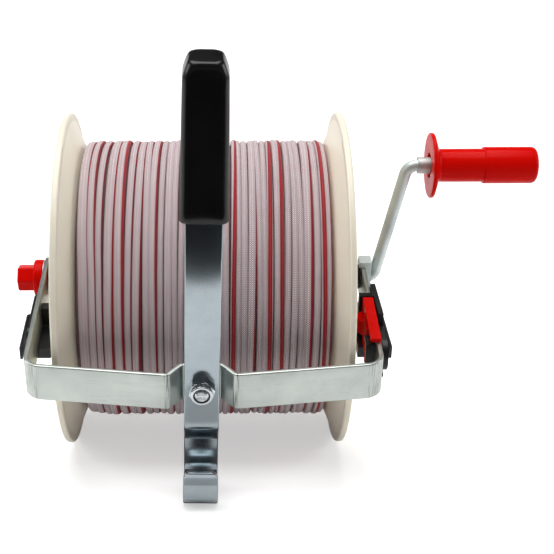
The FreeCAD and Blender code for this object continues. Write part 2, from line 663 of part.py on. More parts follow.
def rod_along_x(name, radius, start, length, place):
    """Plain cylinder along X, from its start, at the given place across the axis."""
    rod = doc.addObject("Part::Cylinder", name)
    rod.Placement = FreeCAD.Placement(FreeCAD.Vector(), FreeCAD.Rotation(ALONG_Y, 90))
    for axis, text in zip("xyz", (start, place[0], place[1])):
        rod.setExpression("Placement.Base." + axis, bound(text))
    rod.setExpression("Radius", bound(radius))
    rod.setExpression("Height", bound(length))
    return rod


def joined(kind, name, base, tool):
    """Part::Fuse or Part::Cut of two objects."""
    result = doc.addObject(kind, name)
    result.Base = base
    result.Tool = tool
    return result


def group(name, pieces):
    """One sub-part of separate solids."""
    compound = doc.addObject("Part::Compound", name)
    compound.Label = name
    compound.Links = pieces
    return register(compound)


def clamp_screws():
    screws = []
    for index, place in enumerate(screw_places()):
        shank = rod_along_x(f"screw_shank_{index}", "screw_radius", "-web_outer",
                            "2 * web_outer + screw_tail", place)
        head = rod_along_x(f"screw_head_{index}", "screw_head_radius", "-web_outer - screw_head_height",
                           "screw_head_height", place)
        screws.append(joined("Part::Fuse", f"screw_{index}", shank, head))
    return group("clamp_screws", screws)


def clamp_nuts():
    nuts = []
    for index, place in enumerate(screw_places()):
        hexagon_block = doc.addObject("Part::Prism", f"nut_block_{index}")
        hexagon_block.Polygon = 6
        hexagon_block.Placement = FreeCAD.Placement(FreeCAD.Vector(), FreeCAD.Rotation(ALONG_Y, 90))
        for axis, text in zip("xyz", ("web_outer", place[0], place[1])):
            hexagon_block.setExpression("Placement.Base." + axis, bound(text))
        hexagon_block.setExpression("Circumradius", bound("nut_radius"))
        hexagon_block.setExpression("Height", bound("nut_height"))
        thread = rod_along_x(f"nut_thread_{index}", "screw_radius", "web_outer", "nut_height", place)
        nuts.append(joined("Part::Cut", f"nut_{index}", hexagon_block, thread))
    return group("clamp_nuts", nuts)


# Shaft, crank and brake

def crank_rod():
    """One bent rod: shaft through the drum, crank arm and handle spindle."""
    body = new_body("crank_rod")
    profile = new_sketch(body, "YZ_Plane", "-shaft_end")
    circle(profile, ("0", "0"), "shaft_radius")
    path = new_sketch(body, "XZ_Plane")
    bent_path(path, [
        ("-shaft_end", "0"),
        ("crank_foot", "0"),
        ("crank_top", "crank_throw"),
        ("crank_tip", "crank_throw"),
    ], ["crank_foot_bend", "crank_bend"])
    sweep(body, profile, path)
    bore(body, "XY_Plane", ("drive_pin_place", "0"), "drive_pin_radius", "hub_radius")
    return register(body)


def drive_pin():
    """Cross pin that turns the right flange with the shaft."""
    body = new_body("drive_pin")
    disc(body, "XY_Plane", "-drive_pin_length / 2", ("drive_pin_place", "0"), "drive_pin_radius",
         "drive_pin_length")
    return register(body)


def turned_ring(name, start, end, inner, outer, height="0"):
    """Plain ring about a line along X."""
    body = new_body(name)
    turn(body, [(start, inner), (end, inner), (end, outer), (start, outer)], height)
    return register(body)


def cup_spring():
    """Conical spring washer between the right hub and the right bush."""
    body = new_body("cup_spring")
    turn(body, [
        ("hub_end + disc_thickness - spring_sheet", "bore_radius"),
        ("hub_end + disc_thickness", "bore_radius"),
        ("hub_end + spring_sheet", "spring_radius"),
        ("hub_end", "spring_radius"),
    ])
    return register(body)


def shaft_bush(name, side):
    """Flanged bush in a yoke arm."""
    body = new_body(name)
    outline = [
        ("bush_face", "bore_radius"),
        ("bush_face", "bush_flange_radius"),
        ("arm_inner", "bush_flange_radius"),
        ("arm_inner", "bush_radius"),
        ("arm_outer + bush_tail", "bush_radius"),
        ("arm_outer + bush_tail", "bore_radius"),
    ]
    turn(body, [(f"{side} * ({place})", radius) for place, radius in outline])
    return register(body)


def brake_knob():
    """Round flange with a hexagonal boss, screwed onto the left end of the shaft."""
    body = new_body("brake_knob")
    disc(body, "YZ_Plane", "-knob_face", ("0", "0"), "knob_radius", "knob_flange", backward=True)
    boss = new_sketch(body, "YZ_Plane", "-knob_step")
    hexagon(boss, ("0", "0"), "knob_hex_half", "knob_turn")
    pad(body, boss, "knob_boss", backward=True)
    dress(body, "Fillet", "knob_round", lambda edge: is_circle(edge, "knob_radius")
          or near(edge.CenterOfMass.x, "-knob_end"))
    hole = new_sketch(body, "YZ_Plane", "-knob_face")
    circle(hole, ("0", "0"), "bore_radius")
    pocket(body, hole, "shaft_end + slip_gap - knob_face")
    return register(body)


def crank_handle():
    """Turning grip with a disc flange, blind at its outer end."""
    body = new_body("crank_handle")
    turn(body, [
        ("handle_start", "handle_mouth"),
        ("handle_start", "handle_disc"),
        ("handle_start + handle_disc_width", "handle_disc"),
        ("handle_neck", "handle_slim"),
        ("handle_step", "handle_slim"),
        ("handle_step", "handle_radius"),
        ("handle_end", "handle_radius"),
        ("handle_end", "0"),
        ("handle_end - handle_wall", "0"),
        ("handle_end - handle_wall", "ring_radius + slip_gap"),
        ("ring_start - face_gap", "ring_radius + slip_gap"),
        ("ring_start - face_gap", "handle_bore"),
        ("handle_start + handle_mouth_depth", "handle_bore"),
        ("handle_start + handle_mouth_depth", "handle_mouth"),
    ], "crank_throw")
    dress(body, "Fillet", "handle_round", lambda edge: is_circle(edge, "handle_radius", "handle_end"))
    dress(body, "Fillet", "handle_disc_round", lambda edge: is_circle(edge, "handle_disc"))
    return register(body)


# Frame

BOLT_PLACE = ("seat_place", "-bolt_drop")


def frame_yoke():
    """Bent strip: two arms, a bowed front and a seat behind the bar."""
    body = new_body("frame_yoke")
    profile = new_sketch(body, "XZ_Plane", "-arm_tail")
    polygon(profile, [
        ("-arm_outer", "-arm_top"),
        ("-arm_inner", "-arm_top"),
        ("-arm_inner", "arm_top"),
        ("-arm_outer", "arm_top"),
    ])
    path = new_sketch(body, "XY_Plane")
    bent_path(path, [
        ("-arm_middle", "arm_tail"),
        ("-arm_middle", "-corner_reach"),
        ("seat_place - bow_half_width", "-bow_reach"),
        ("seat_place - seat_half_width", "-seat_reach"),
        ("seat_place + seat_half_width", "-seat_reach"),
        ("seat_place + bow_half_width", "-bow_reach"),
        ("arm_middle", "-corner_reach"),
        ("arm_middle", "arm_tail"),
    ], ["corner_bend", "seat_bend", "seat_bend", "seat_bend", "seat_bend", "corner_bend"])
    sweep(body, profile, path)
    dress(body, "Fillet", "arm_round", lambda edge: is_straight(edge, ALONG_X)
          and near(edge.CenterOfMass.y, "arm_tail"))
    bore(body, "YZ_Plane", ("0", "0"), "bush_radius", "arm_outer + face_gap")
    bore(body, "XZ_Plane", BOLT_PLACE, "bolt_radius + bolt_gap", "bar_front")
    return register(body)


def handle_bar():
    """Flat bar with a joggle and a J hook at its lower end."""
    body = new_body("handle_bar")
    profile = new_sketch(body, "XY_Plane", "bar_top")
    polygon(profile, [
        ("-bar_width / 2", "-bar_front"),
        ("bar_width / 2", "-bar_front"),
        ("bar_width / 2", "-bar_back"),
        ("-bar_width / 2", "-bar_back"),
    ])
    path = new_sketch(body, "YZ_Plane")
    bent_path(path, [
        ("-bar_middle", "bar_top"),
        ("-bar_middle", "-joggle_top"),
        ("-hook_back", "-joggle_bottom"),
        ("-hook_back", "-hook_bottom"),
        ("-hook_front", "-hook_bottom"),
        ("-hook_front", "-hook_tip"),
    ], ["joggle_bend", "joggle_bend", "hook_bend", "hook_bend"])
    sweep(body, profile, path)
    dress(body, "Fillet", "hook_round", lambda edge: is_straight(edge, ALONG_Y)
          and near(edge.CenterOfMass.z, "-hook_tip"))
    bore(body, "XZ_Plane", ("0", "-bolt_drop"), "bolt_radius + bolt_gap", "bar_front")
    return register_tilted(body)


def hand_grip():
    """Moulded grip with a lip at its lower end and a tapered top."""
    body = new_body("hand_grip")
    sections = []
    for height, level in (("grip_bottom", "lip"), ("grip_flare", "lower"), ("grip_shoulder", "upper"),
                          ("grip_top", "top")):
        section = new_sketch(body, "XY_Plane", height)
        rounded_rectangle(section, ("0", "-bar_middle"), f"grip_{level}_width", f"grip_{level}_depth",
                          "grip_round")
        sections.append(section)
    loft = body.newObject("PartDesign::AdditiveLoft", "hand_grip_loft")
    loft.Profile = sections[0]
    loft.Sections = sections[1:]
    loft.Ruled = True
    slot = new_sketch(body, "XY_Plane", "grip_bottom")
    half_width = "(bar_width / 2 + slip_gap)"
    polygon(slot, [
        (f"-{half_width}", "-bar_front - slip_gap"),
        (half_width, "-bar_front - slip_gap"),
        (half_width, "-bar_back + slip_gap"),
        (f"-{half_width}", "-bar_back + slip_gap"),
    ])
    pocket(body, slot, "bar_top + slip_gap - grip_bottom", forward=True)
    dress(body, "Fillet", "grip_top_round", lambda edge: near(edge.BoundBox.ZMin, "grip_top"))
    return register_tilted(body)


def frame_bolt():
    body = new_body("frame_bolt")
    head = new_sketch(body, "XZ_Plane", "washer_back - bolt_head")
    hexagon(head, BOLT_PLACE, "hex_half")
    pad(body, head, "bolt_head")
    disc(body, "XZ_Plane", "washer_back", BOLT_PLACE, "bolt_radius",
         "bar_front + bolt_tail - washer_back")
    dress(body, "Chamfer", "bolt_chamfer", lambda edge: is_circle(edge, "bolt_radius")
          and near(edge.CenterOfMass.y, "-bar_front - bolt_tail"))
    return register(body)


def frame_washer():
    body = new_body("frame_washer")
    ring_pad(body, "XZ_Plane", "washer_back", BOLT_PLACE, "washer_radius",
             "bolt_radius + bolt_gap", "washer_thickness")
    return register(body)


def frame_nut():
    """Lock nut: hexagon and a round collar that holds the insert."""
    body = new_body("frame_nut")
    block = new_sketch(body, "XZ_Plane", "bar_front")
    hexagon(block, BOLT_PLACE, "hex_half", "nut_turn")
    circle(block, BOLT_PLACE, "bolt_radius")
    pad(body, block, "nut_hex_height")
    ring_pad(body, "XZ_Plane", "bar_front + nut_hex_height", BOLT_PLACE, "collar_radius",
             "insert_radius", "collar_height")
    dress(body, "Fillet", "collar_round", lambda edge: is_circle(edge, "collar_radius")
          and near(edge.CenterOfMass.y, "-bar_front - nut_hex_height - collar_height"))
    return register(body)


def nut_insert():
    body = new_body("nut_insert")
    ring_pad(body, "XZ_Plane", "bar_front + nut_hex_height", BOLT_PLACE, "insert_radius",
             "bolt_radius", "insert_height")
    return register(body)


def bearing_plate():
    """Plate on the outside of the right arm, with a lip over the arm's upper edge."""
    body = new_body("bearing_plate")
    prism(body, "YZ_Plane", "arm_outer", [
        ("-plate_front", "-arm_top"),
        ("-plate_front", "plate_top"),
        ("plate_lip_back", "plate_top"),
        ("plate_back", "plate_shoulder"),
        ("plate_back", "-arm_top"),
    ], "plate_thickness")
    prism(body, "YZ_Plane", "plate_inner", [
        ("-plate_front", "arm_top"),
        ("-plate_front", "plate_top"),
        ("plate_lip_back", "plate_top"),
        ("plate_lip_back", "arm_top"),
    ], "plate_outer - plate_inner")
    bore(body, "YZ_Plane", ("0", "0"), "bush_radius", "plate_outer")
    return register(body)


# Clips and lock

def arm_clip(name, side, front, corner_round, splay):
    """Nylon clip around an arm from below, with a ramped outer wall, a finger tab and a stud."""
    body = new_body(name)

    def mirrored(corners):
        return [(f"{side} * ({across})", other) for across, other in corners]

    def leaning(across, place):
        """Place across the arm that leans out with the outer wall, and its place along the arm."""
        share = f"({place} - clip_back - clip_ramp) / ({front} - clip_back - clip_ramp)"
        return f"{across} + {splay} * {share}", f"-({place})"

    prism(body, "XY_Plane", "-clip_bottom", mirrored([
        ("clip_inner", "-clip_back"),
        leaning("clip_outer", "clip_back + clip_ramp"),
        leaning("clip_outer", front),
        leaning("clip_inner", front),
        leaning("clip_inner", "clip_back + clip_ramp"),
    ]), "clip_bottom + clip_outer_top")
    dress(body, "Fillet", corner_round, lambda edge: is_straight(edge, ALONG_X)
          and near(edge.CenterOfMass.y, f"-{front}"))
    prism(body, "XZ_Plane", "clip_floor_back", mirrored([
        ("lip_inner", "-clip_bottom"),
        ("clip_outer", "-clip_bottom"),
        ("clip_outer", "-clip_floor_top"),
        ("lip_outer", "-clip_floor_top"),
        ("lip_outer", "-clip_inner_top"),
        ("lip_inner", "-clip_inner_top"),
    ]), "clip_floor_front - clip_floor_back")
    prism(body, "XY_Plane", "-clip_bottom", mirrored([
        ("arm_inner - clip_stud_depth", "-clip_stud_back"),
        ("lip_outer", "-clip_stud_back"),
        ("lip_outer", "-clip_stud_front"),
        ("arm_inner - clip_stud_depth", "-clip_stud_front"),
    ]), "clip_bottom + clip_outer_top")
    prism(body, "XY_Plane", "-tab_half_height", mirrored([
        leaning("tab_root", "tab_back"),
        leaning("tab_outer", "tab_back_end"),
        leaning("tab_outer", "tab_front"),
        leaning("tab_inner", "tab_front"),
        leaning("tab_inner", "tab_root_end"),
        leaning("tab_root", "tab_root_end"),
    ]), "2 * tab_half_height")
    if side == 1:
        clip_brow(body, leaning)
        pin_ears(body)
    return register(body)


def clip_brow(body, leaning):
    """Raised part of the right clip's outer wall, with an arch over the arm behind the lock lever."""
    prism(body, "XY_Plane", "clip_outer_top", [
        leaning("clip_inner", "clip_back + clip_ramp"),
        leaning("clip_outer", "clip_back + clip_ramp"),
        leaning("clip_outer", "brow_front"),
        leaning("clip_inner", "brow_front"),
    ], "brow_top - clip_outer_top")
    prism(body, "XZ_Plane", "clip_stud_front - brow_arch", [
        ("arm_inner - clip_stud_depth", "clip_outer_top"),
        ("arm_inner - clip_stud_depth", "brow_top"),
        ("clip_outer", "brow_top"),
        ("clip_outer", "clip_floor_top"),
        ("lip_outer", "clip_floor_top"),
        ("lip_outer", "clip_outer_top"),
    ], "brow_arch")


def pin_ears(body):
    """Bracket in front of the lock lever, with an ear above and one below it that hold its pin."""
    prism(body, "YZ_Plane", "ear_end", [
        ("-ear_back", "ear_bottom"),
        ("-ear_back", "ear_top"),
        ("-post_front", "ear_top"),
        ("-post_front", "-clip_bottom"),
        ("-post_back", "-clip_bottom"),
        ("-post_back", "ear_bottom"),
    ], "lip_outer - ear_end")
    prism(body, "XZ_Plane", "ear_back", [
        ("ear_end", "-clip_bottom"),
        ("clip_outer", "-clip_bottom"),
        ("clip_outer", "-clip_floor_top"),
        ("ear_end", "-clip_floor_top"),
    ], "post_front - ear_back")
    bore(body, "XY_Plane", ("pin_x", "-pin_place"), "pin_radius", "clip_bottom + ear_wall")


def lock_pin():
    body = new_body("lock_pin")
    disc(body, "XY_Plane", "-clip_bottom", ("pin_x", "-pin_place"), "pin_radius",
         "clip_bottom + ear_top")
    return register(body)


def lock_lever():
    """Ridged lever inside the right arm, with a cap over the arm and a pawl that reaches the ribs."""
    body = new_body("lock_lever")
    prism(body, "YZ_Plane", "lever_face", [
        ("-lever_back", "-lever_bottom"),
        ("-lever_back", "cap_top"),
        ("-lever_cap_front", "cap_top"),
        ("-lever_cap_front", "lever_top"),
        ("-lever_notch", "lever_top"),
        ("-lever_notch", "lever_pin_top"),
        ("-pin_place", "lever_pin_top"),
        ("-pin_place", "-lever_bottom"),
    ], "lever_wall")
    prism(body, "XZ_Plane", "lever_back", [
        ("lever_face", "lever_top"),
        ("arm_outer", "lever_top"),
        ("arm_outer", "cap_top"),
        ("lever_face", "cap_top"),
    ], "lever_cap_front - lever_back")
    prism(body, "XY_Plane", "-pawl_half_height", [
        ("lever_middle", "-lever_back"),
        ("lever_face", "-lever_back"),
        ("lever_face - pawl_depth", "-pawl_tip_back"),
        ("lever_face - pawl_depth", "-pawl_tip_front"),
        ("lever_face", "-pawl_front"),
        ("lever_middle", "-pawl_front"),
    ], "2 * pawl_half_height")
    disc(body, "XY_Plane", "-lever_bottom", ("pin_x", "-pin_place"), "lever_boss_radius",
         "lever_bottom + lever_pin_top")
    ridge_sketch = new_sketch(body, "XY_Plane", "-lever_bottom")
    polygon(ridge_sketch, [
        ("lever_middle", "-ridge_start"),
        ("lever_face - ridge_depth", "-ridge_start"),
        ("lever_face - ridge_depth", "-ridge_start - ridge_width / 2"),
        ("lever_middle", "-ridge_start - ridge_width"),
    ])
    ridge = pad(body, ridge_sketch, "lever_bottom + lever_top")
    doc.recompute()
    pattern = body.newObject("PartDesign::LinearPattern", "lock_lever_ridges")
    pattern.Originals = [ridge]
    pattern.Direction = (next(item for item in body.Origin.OriginFeatures if item.Role == "Y_Axis"), [""])
    pattern.Reversed = True
    pattern.setExpression("Length", bound("ridge_pitch * (ridge_count - 1)"))
    pattern.setExpression("Occurrences", bound("ridge_count"))
    body.Tip = pattern
    bore(body, "XY_Plane", ("pin_x", "-pin_place"), "pin_radius + running_gap", "lever_bottom + face_gap")
    return register(body)


def lock_spring():
    """Small coil around the lock pin, between the lever and the upper ear."""
    body = new_body("lock_spring")
    wire = new_sketch(body, "XZ_Plane", "pin_place")
    wire.setExpression("AttachmentOffset.Base.x", bound("pin_x"))
    circle(wire, ("coil_radius", "(lever_pin_top + ear_bottom - coil_height) / 2"), "coil_wire")
    coil = body.newObject("PartDesign::AdditiveHelix", "lock_spring_coil")
    coil.Profile = wire
    coil.ReferenceAxis = (wire, ["V_Axis"])
    coil.Mode = "pitch-height-angle"
    coil.setExpression("Pitch", bound("coil_pitch"))
    coil.setExpression("Height", bound("coil_height"))
    return register(body)


drum_flange("drum_flange_left", -1)
drum_flange("drum_flange_right", 1)
drum_core()
wound_line()
clamp_screws()
clamp_nuts()
crank_rod()
drive_pin()
turned_ring("brake_disc", "-hub_end", "-hub_end - disc_thickness", "bore_radius", "disc_radius")
cup_spring()
turned_ring("brake_washer", "-arm_outer - bush_tail - face_gap", "-knob_face", "bore_radius",
            "brake_washer_radius")
turned_ring("handle_sleeve", "sleeve_start", "ring_start", "shaft_radius", "sleeve_radius", "crank_throw")
turned_ring("handle_ring", "ring_start", "ring_start + ring_width", "shaft_radius", "ring_radius",
            "crank_throw")
brake_knob()
crank_handle()
frame_yoke()
handle_bar()
hand_grip()
frame_bolt()
frame_washer()
frame_nut()
nut_insert()
shaft_bush("shaft_bush_left", -1)
shaft_bush("shaft_bush_right", 1)
bearing_plate()
arm_clip("arm_clip_left", -1, "clip_front", "clip_round", "0")
arm_clip("arm_clip_right", 1, "clip_right_front", "clip_right_round", "clip_splay")
lock_pin()
lock_lever()
lock_spring()

doc.recompute()
for item in doc.Objects:
    if "Invalid" in item.State or "Error" in item.State:
        raise RuntimeError(f"{item.Name} failed: {item.State}")
os.makedirs("parts", exist_ok=True)
for piece in sub_parts:
    if piece.Shape.isNull() or not piece.Shape.isValid():
        raise RuntimeError(f"{piece.Label} has no valid shape")
for piece in sub_parts:
    piece.Shape.exportStep(f"parts/{piece.Label}.step")
    solids = len(piece.Shape.Solids)
    print(f"{piece.Label}: {solids} solid(s), {piece.Shape.Volume:.0f} mm3")
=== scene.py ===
# %% [markdown]
# # Electric fence reel
# A farmer winds the white and red rope of an electric fence on this reel. A cream drum turns in a bent
# zinc-plated strip, a flat bar carries the black grip and ends in a hook, and a crank with a red handle
# stands on the right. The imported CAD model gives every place, and this file gives the surfaces and
# finishes.

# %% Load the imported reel
import json
import math

import bmesh
import bpy
import numpy as np
from mathutils import Matrix, Vector


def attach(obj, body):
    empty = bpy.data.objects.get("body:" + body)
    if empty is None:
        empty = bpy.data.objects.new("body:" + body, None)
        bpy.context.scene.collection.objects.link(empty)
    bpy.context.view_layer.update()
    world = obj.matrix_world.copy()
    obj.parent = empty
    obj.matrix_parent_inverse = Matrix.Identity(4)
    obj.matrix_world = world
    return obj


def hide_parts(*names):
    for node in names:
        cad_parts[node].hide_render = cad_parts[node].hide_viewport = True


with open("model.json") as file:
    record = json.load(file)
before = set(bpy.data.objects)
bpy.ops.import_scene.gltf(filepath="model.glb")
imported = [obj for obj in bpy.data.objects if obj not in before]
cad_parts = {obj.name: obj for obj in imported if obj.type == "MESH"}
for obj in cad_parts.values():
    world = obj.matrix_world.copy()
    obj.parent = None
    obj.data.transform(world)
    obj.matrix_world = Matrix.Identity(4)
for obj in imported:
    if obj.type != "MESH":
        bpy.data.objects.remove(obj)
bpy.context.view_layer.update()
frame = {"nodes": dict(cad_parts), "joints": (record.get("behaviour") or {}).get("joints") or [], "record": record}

# %% [markdown]
# ## The reel's own directions
# The reel leans forward until its hook touches the floor. Its pieces are easier to draw upright, so their
# points are given in millimetres: x along the drum towards the crank, y backwards, z up the bar, from the
# middle of the drum's axis. The hinge of the drum gives that middle and the hinge of the lock gives the
# lean.

# %% From reel points to scene points
hinges = {joint["name"]: joint for joint in frame["joints"]}
drum_middle = np.array(hinges["drum_spin"]["pos_m"])
up_the_bar = np.array(hinges["lock_swing"]["axis"])
backwards = np.array([0.0, up_the_bar[2], -up_the_bar[1]])
reel_axes = np.array([[1.0, 0.0, 0.0], backwards, up_the_bar])


def on_reel(points):
    """Scene points in metres: the middle of the drum plus x, y and z times the reel's three axes."""
    return drum_middle + np.asarray(points, float) @ reel_axes / 1000.0


lean = math.degrees(math.atan2(-up_the_bar[1], up_the_bar[2]))
print("lean", round(lean, 2), "degrees, drum middle", drum_middle)

# %% [markdown]
# ## Camera
# The photograph looks at the reel from 31.6 degrees above the square view of its bar, from about a metre
# away. The reel sits to the left of the frame's centre, because the crank needs room, so the lens is
# shifted sideways instead of turned. The picture also rolls by a fifth of a degree.

# %% Camera
DISTANCE = 981.1
RISE = math.radians(31.6)
SIDE = 7.85
LENS = 80.0
ROLL = math.radians(-0.2)
SHIFT = 0.113
eye = on_reel([SIDE, -DISTANCE * math.cos(RISE), DISTANCE * math.sin(RISE)])
looking = backwards * math.cos(RISE) - up_the_bar * math.sin(RISE)
rightwards = np.array([1.0, 0.0, 0.0])
upwards = np.cross(rightwards, looking)
right_rolled = rightwards * math.cos(ROLL) + upwards * math.sin(ROLL)
up_rolled = upwards * math.cos(ROLL) - rightwards * math.sin(ROLL)
camera = bpy.data.objects.new("camera", bpy.data.cameras.new("camera"))
bpy.context.scene.collection.objects.link(camera)
camera.rotation_mode = "QUATERNION"
turned = np.column_stack([right_rolled, up_rolled, -looking])
camera.matrix_world = Matrix.Translation(eye) @ Matrix(turned.tolist()).to_4x4()
camera.data.lens = LENS
camera.data.sensor_width = 36.0
camera.data.shift_x = SHIFT
camera.data.clip_start = 0.05
bpy.context.scene.camera = camera
print("camera at", np.round(eye, 3))

# %% [markdown]
# ## Node helpers
# A finish is a tree of nodes. Each node could be made and joined by hand, which takes many lines. These
# small functions make a node and join it in one line, so that the finishes below read like recipes.

# %% Node helpers
WHITE = (1.0, 1.0, 1.0, 1.0)


def put(tree, kind, inputs=None, **settings):
    """New shader node. Each input is given a number, a colour or the output that feeds it."""
    made = tree.nodes.new("ShaderNode" + kind)
    for key, value in settings.items():
        setattr(made, key, value)
    for socket, value in (inputs or {}).items():
        if isinstance(value, bpy.types.NodeSocket):
            tree.links.new(value, made.inputs[socket])
        else:
            made.inputs[socket].default_value = value
    return made


def maths(tree, operation, first, second=0.0):
    """Result of one operation on one or two values."""
    return put(tree, "Math", {0: first, 1: second}, operation=operation).outputs[0]


def mapped(tree, value, low, high, to_low=0.0, to_high=1.0):
    """Value that goes from to_low to to_high as the given value goes from low to high, and stops there."""
    return put(tree, "MapRange", {"Value": value, "From Min": low, "From Max": high, "To Min": to_low,
                                  "To Max": to_high}).outputs["Result"]


def between(tree, factor, low, high):
    """Value that goes from low to high as the factor goes from 0 to 1."""
    return mapped(tree, factor, 0.0, 1.0, low, high)


def blended(tree, factor, low, high):
    """Colour between two colours."""
    return put(tree, "Mix", {0: factor, 6: low, 7: high}, data_type="RGBA").outputs[2]


def object_place(tree):
    """Place in the piece's own space, in metres."""
    return put(tree, "TexCoord").outputs["Object"]


def map_place(tree, name):
    """Place on a piece's own UV map."""
    return put(tree, "UVMap", uv_map=name).outputs["UV"]


def new_group(name, inputs, outputs):
    """Node group with its sockets. Returns the group, what it is given and what it gives."""
    group = bpy.data.node_groups.new(name, "ShaderNodeTree")
    for label, kind, value in inputs:
        socket = group.interface.new_socket(name=label, in_out="INPUT", socket_type="NodeSocket" + kind)
        if value is not None:
            socket.default_value = value
    for label in outputs:
        group.interface.new_socket(name=label, in_out="OUTPUT", socket_type="NodeSocketFloat")
    return group, group.nodes.new("NodeGroupInput").outputs, group.nodes.new("NodeGroupOutput").inputs


def use_group(tree, group, inputs):
    """Outputs of a node group that is placed with these values."""
    return put(tree, "Group", inputs, node_tree=group).outputs


def new_finish(name, **values):
    """Material with a Principled shader. The values set its own sockets."""
    finish = bpy.data.materials.new(name)
    finish.use_nodes = True
    shader = finish.node_tree.nodes["Principled BSDF"]
    for socket, value in values.items():
        shader.inputs[socket.replace("_", " ")].default_value = value
    return finish, finish.node_tree, shader


print("node helpers ready")

# %% [markdown]
# ## Floor and backdrop
# The photograph shows the reel on pure white. One sheet of pale paper lies under the reel and bends up
# behind it, so that no edge shows. Two planes would meet in a line. The sheet's points follow from two
# lengths in metres: the place across it and the place along it.

# %% Paper
PAPER_FLAT = 1.0
PAPER_BEND = 0.6


def link(obj):
    """Put an object into the scene."""
    bpy.context.scene.collection.objects.link(obj)
    return obj


def paper_points(across, along):
    """Flat for the first length, then a quarter circle, then straight up with what is left of the length."""
    bend = np.clip((along - PAPER_FLAT) / PAPER_BEND, 0.0, math.pi / 2)
    past = np.maximum(along - PAPER_FLAT - PAPER_BEND * math.pi / 2, 0.0)
    y = np.minimum(along, PAPER_FLAT) + PAPER_BEND * np.sin(bend)
    z = PAPER_BEND * (1.0 - np.cos(bend)) + past
    return np.stack([across, y, z], axis=-1)


def grid_faces(rows, columns, wrap_rows=False, wrap_columns=False):
    """Four corners of every cell of a grid, as numbers into its points taken row by row."""
    i = np.arange(rows if wrap_rows else rows - 1)[:, None]
    j = np.arange(columns if wrap_columns else columns - 1)[None, :]
    i_next, j_next = (i + 1) % rows, (j + 1) % columns
    cells = [i * columns + j, i_next * columns + j, i_next * columns + j_next, i * columns + j_next]
    return np.stack(np.broadcast_arrays(*cells), axis=-1).reshape(-1, 4)


across, along = np.meshgrid(np.linspace(-3.0, 3.0, 3), np.linspace(-4.0, 4.5, 120), indexing="ij")
paper_mesh = bpy.data.meshes.new("paper")
paper_mesh.from_pydata(paper_points(across, along).reshape(-1, 3).tolist(), [],
                       grid_faces(*across.shape).tolist())
paper_mesh.shade_smooth()
paper = link(bpy.data.objects.new("paper", paper_mesh))
print("paper", len(paper_mesh.polygons), "faces")

# %% [markdown]
# ## Cards for the mirror images
# Bright zinc shows what stands round it. In the photograph the upper bar mirrors a dark room in front of the
# table, and the lower bar and the hook mirror the ground close to the reel, which lies in the reel's shade. A
# whole room could be built round the reel, but four flat cards do the same: two black ones for the dark room, and
# a grey and a darker one that are painted shade of that ground. Only mirror rays see them, so they don't show and
# take no light from the reel.

# %% Cards
CARD_COLOURS = {"black_card": (0.008, 0.008, 0.010, 1.0), "shaded_ground_card": (0.50, 0.50, 0.50, 1.0),
                "darker_ground_shade_card": (0.16, 0.16, 0.17, 1.0)}
# Each card has a colour, half a width, and y and z of two opposite edges, in metres.
CARDS = [
    ("black_card", 2.5, (-1.9, 0.002), (-0.335, 0.002)),
    ("black_card", 2.5, (1.5, 0.9), (1.5, 3.5)),
    # Painted shade: these two cards put the reel's shadow on the ground where mirror rays see it.
    ("shaded_ground_card", 0.04, (-0.218, 0.0015), (-0.180, 0.0015)),
    ("darker_ground_shade_card", 0.1, (-0.138, 0.0015), (-0.080, 0.0015))]
card_corners = []
for colour, half, near, far in CARDS:
    card_corners += [(-half, *near), (half, *near), (half, *far), (-half, *far)]
card_mesh = bpy.data.meshes.new("card")
card_mesh.from_pydata(card_corners, [], np.arange(len(card_corners)).reshape(-1, 4).tolist())
for name, colour in CARD_COLOURS.items():
    card_mesh.materials.append(new_finish(name, Base_Color=colour, Specular_IOR_Level=0.0, Roughness=1.0)[0])
for number, (colour, *_) in enumerate(CARDS):
    card_mesh.polygons[number].material_index = list(CARD_COLOURS).index(colour)
card = link(bpy.data.objects.new("card", card_mesh))
card.visible_camera = False
card.visible_diffuse = False
card.visible_shadow = False
card.visible_transmission = False
print("cards", len(card_mesh.polygons))

# %% [markdown]
# ## Lamps
# The light is soft and comes mostly from above. A large soft box hangs over the reel, and two smaller ones
# at the sides show the flanges and the metal's edges.

# %% Lamps
def lamp(name, place, aim, size, power):
    """Square soft box at a place in metres, turned to its aim."""
    data = bpy.data.lights.new(name, "AREA")
    data.shape = "SQUARE"
    data.size = size
    data.energy = power
    obj = link(bpy.data.objects.new(name, data))
    obj.location = place
    obj.rotation_mode = "QUATERNION"
    obj.rotation_quaternion = (Vector(aim) - Vector(place)).to_track_quat("-Z", "Y")


lamp("lamp_above", place=(-0.1, 0.0, 1.7), aim=(0.0, 0.0, 0.1), size=1.5, power=29.0)
lamp("lamp_left", place=(-1.6, 0.0, 0.8), aim=(0.0, 0.0, 0.15), size=0.9, power=9.5)
lamp("lamp_right", place=(1.6, 0.1, 0.7), aim=(0.1, 0.0, 0.15), size=0.9, power=9.0)

# %% [markdown]
# ## Brightness of world and paper
# The world adds a weak even light. Camera rays see it nearly white, and mirror rays see it darker than it
# lights, because the real surroundings were dark. The paper could be lit until it is white, but that would
# bleach the reel. Instead it glows for the rays that see it, most for the camera's. So it is white, doesn't
# light the reel any further and still keeps the reel's shadow.

# %% World and paper
WORLD_LIGHT = 0.22
WORLD_SEEN = 0.98
WORLD_LOST_IN_MIRRORS = 0.12
PAPER_GLOW = 0.10
PAPER_GLOW_FOR_CAMERA = 0.36
world = bpy.data.worlds.new("studio")
bpy.context.scene.world = world
world.use_nodes = True
tree = world.node_tree
background = tree.nodes["Background"].inputs
background["Color"].default_value = WHITE
rays = put(tree, "LightPath").outputs
seen = between(tree, rays["Is Camera Ray"], WORLD_LIGHT, WORLD_SEEN)
lost = between(tree, rays["Is Glossy Ray"], 0.0, WORLD_LOST_IN_MIRRORS)
tree.links.new(maths(tree, "SUBTRACT", seen, lost), background["Strength"])

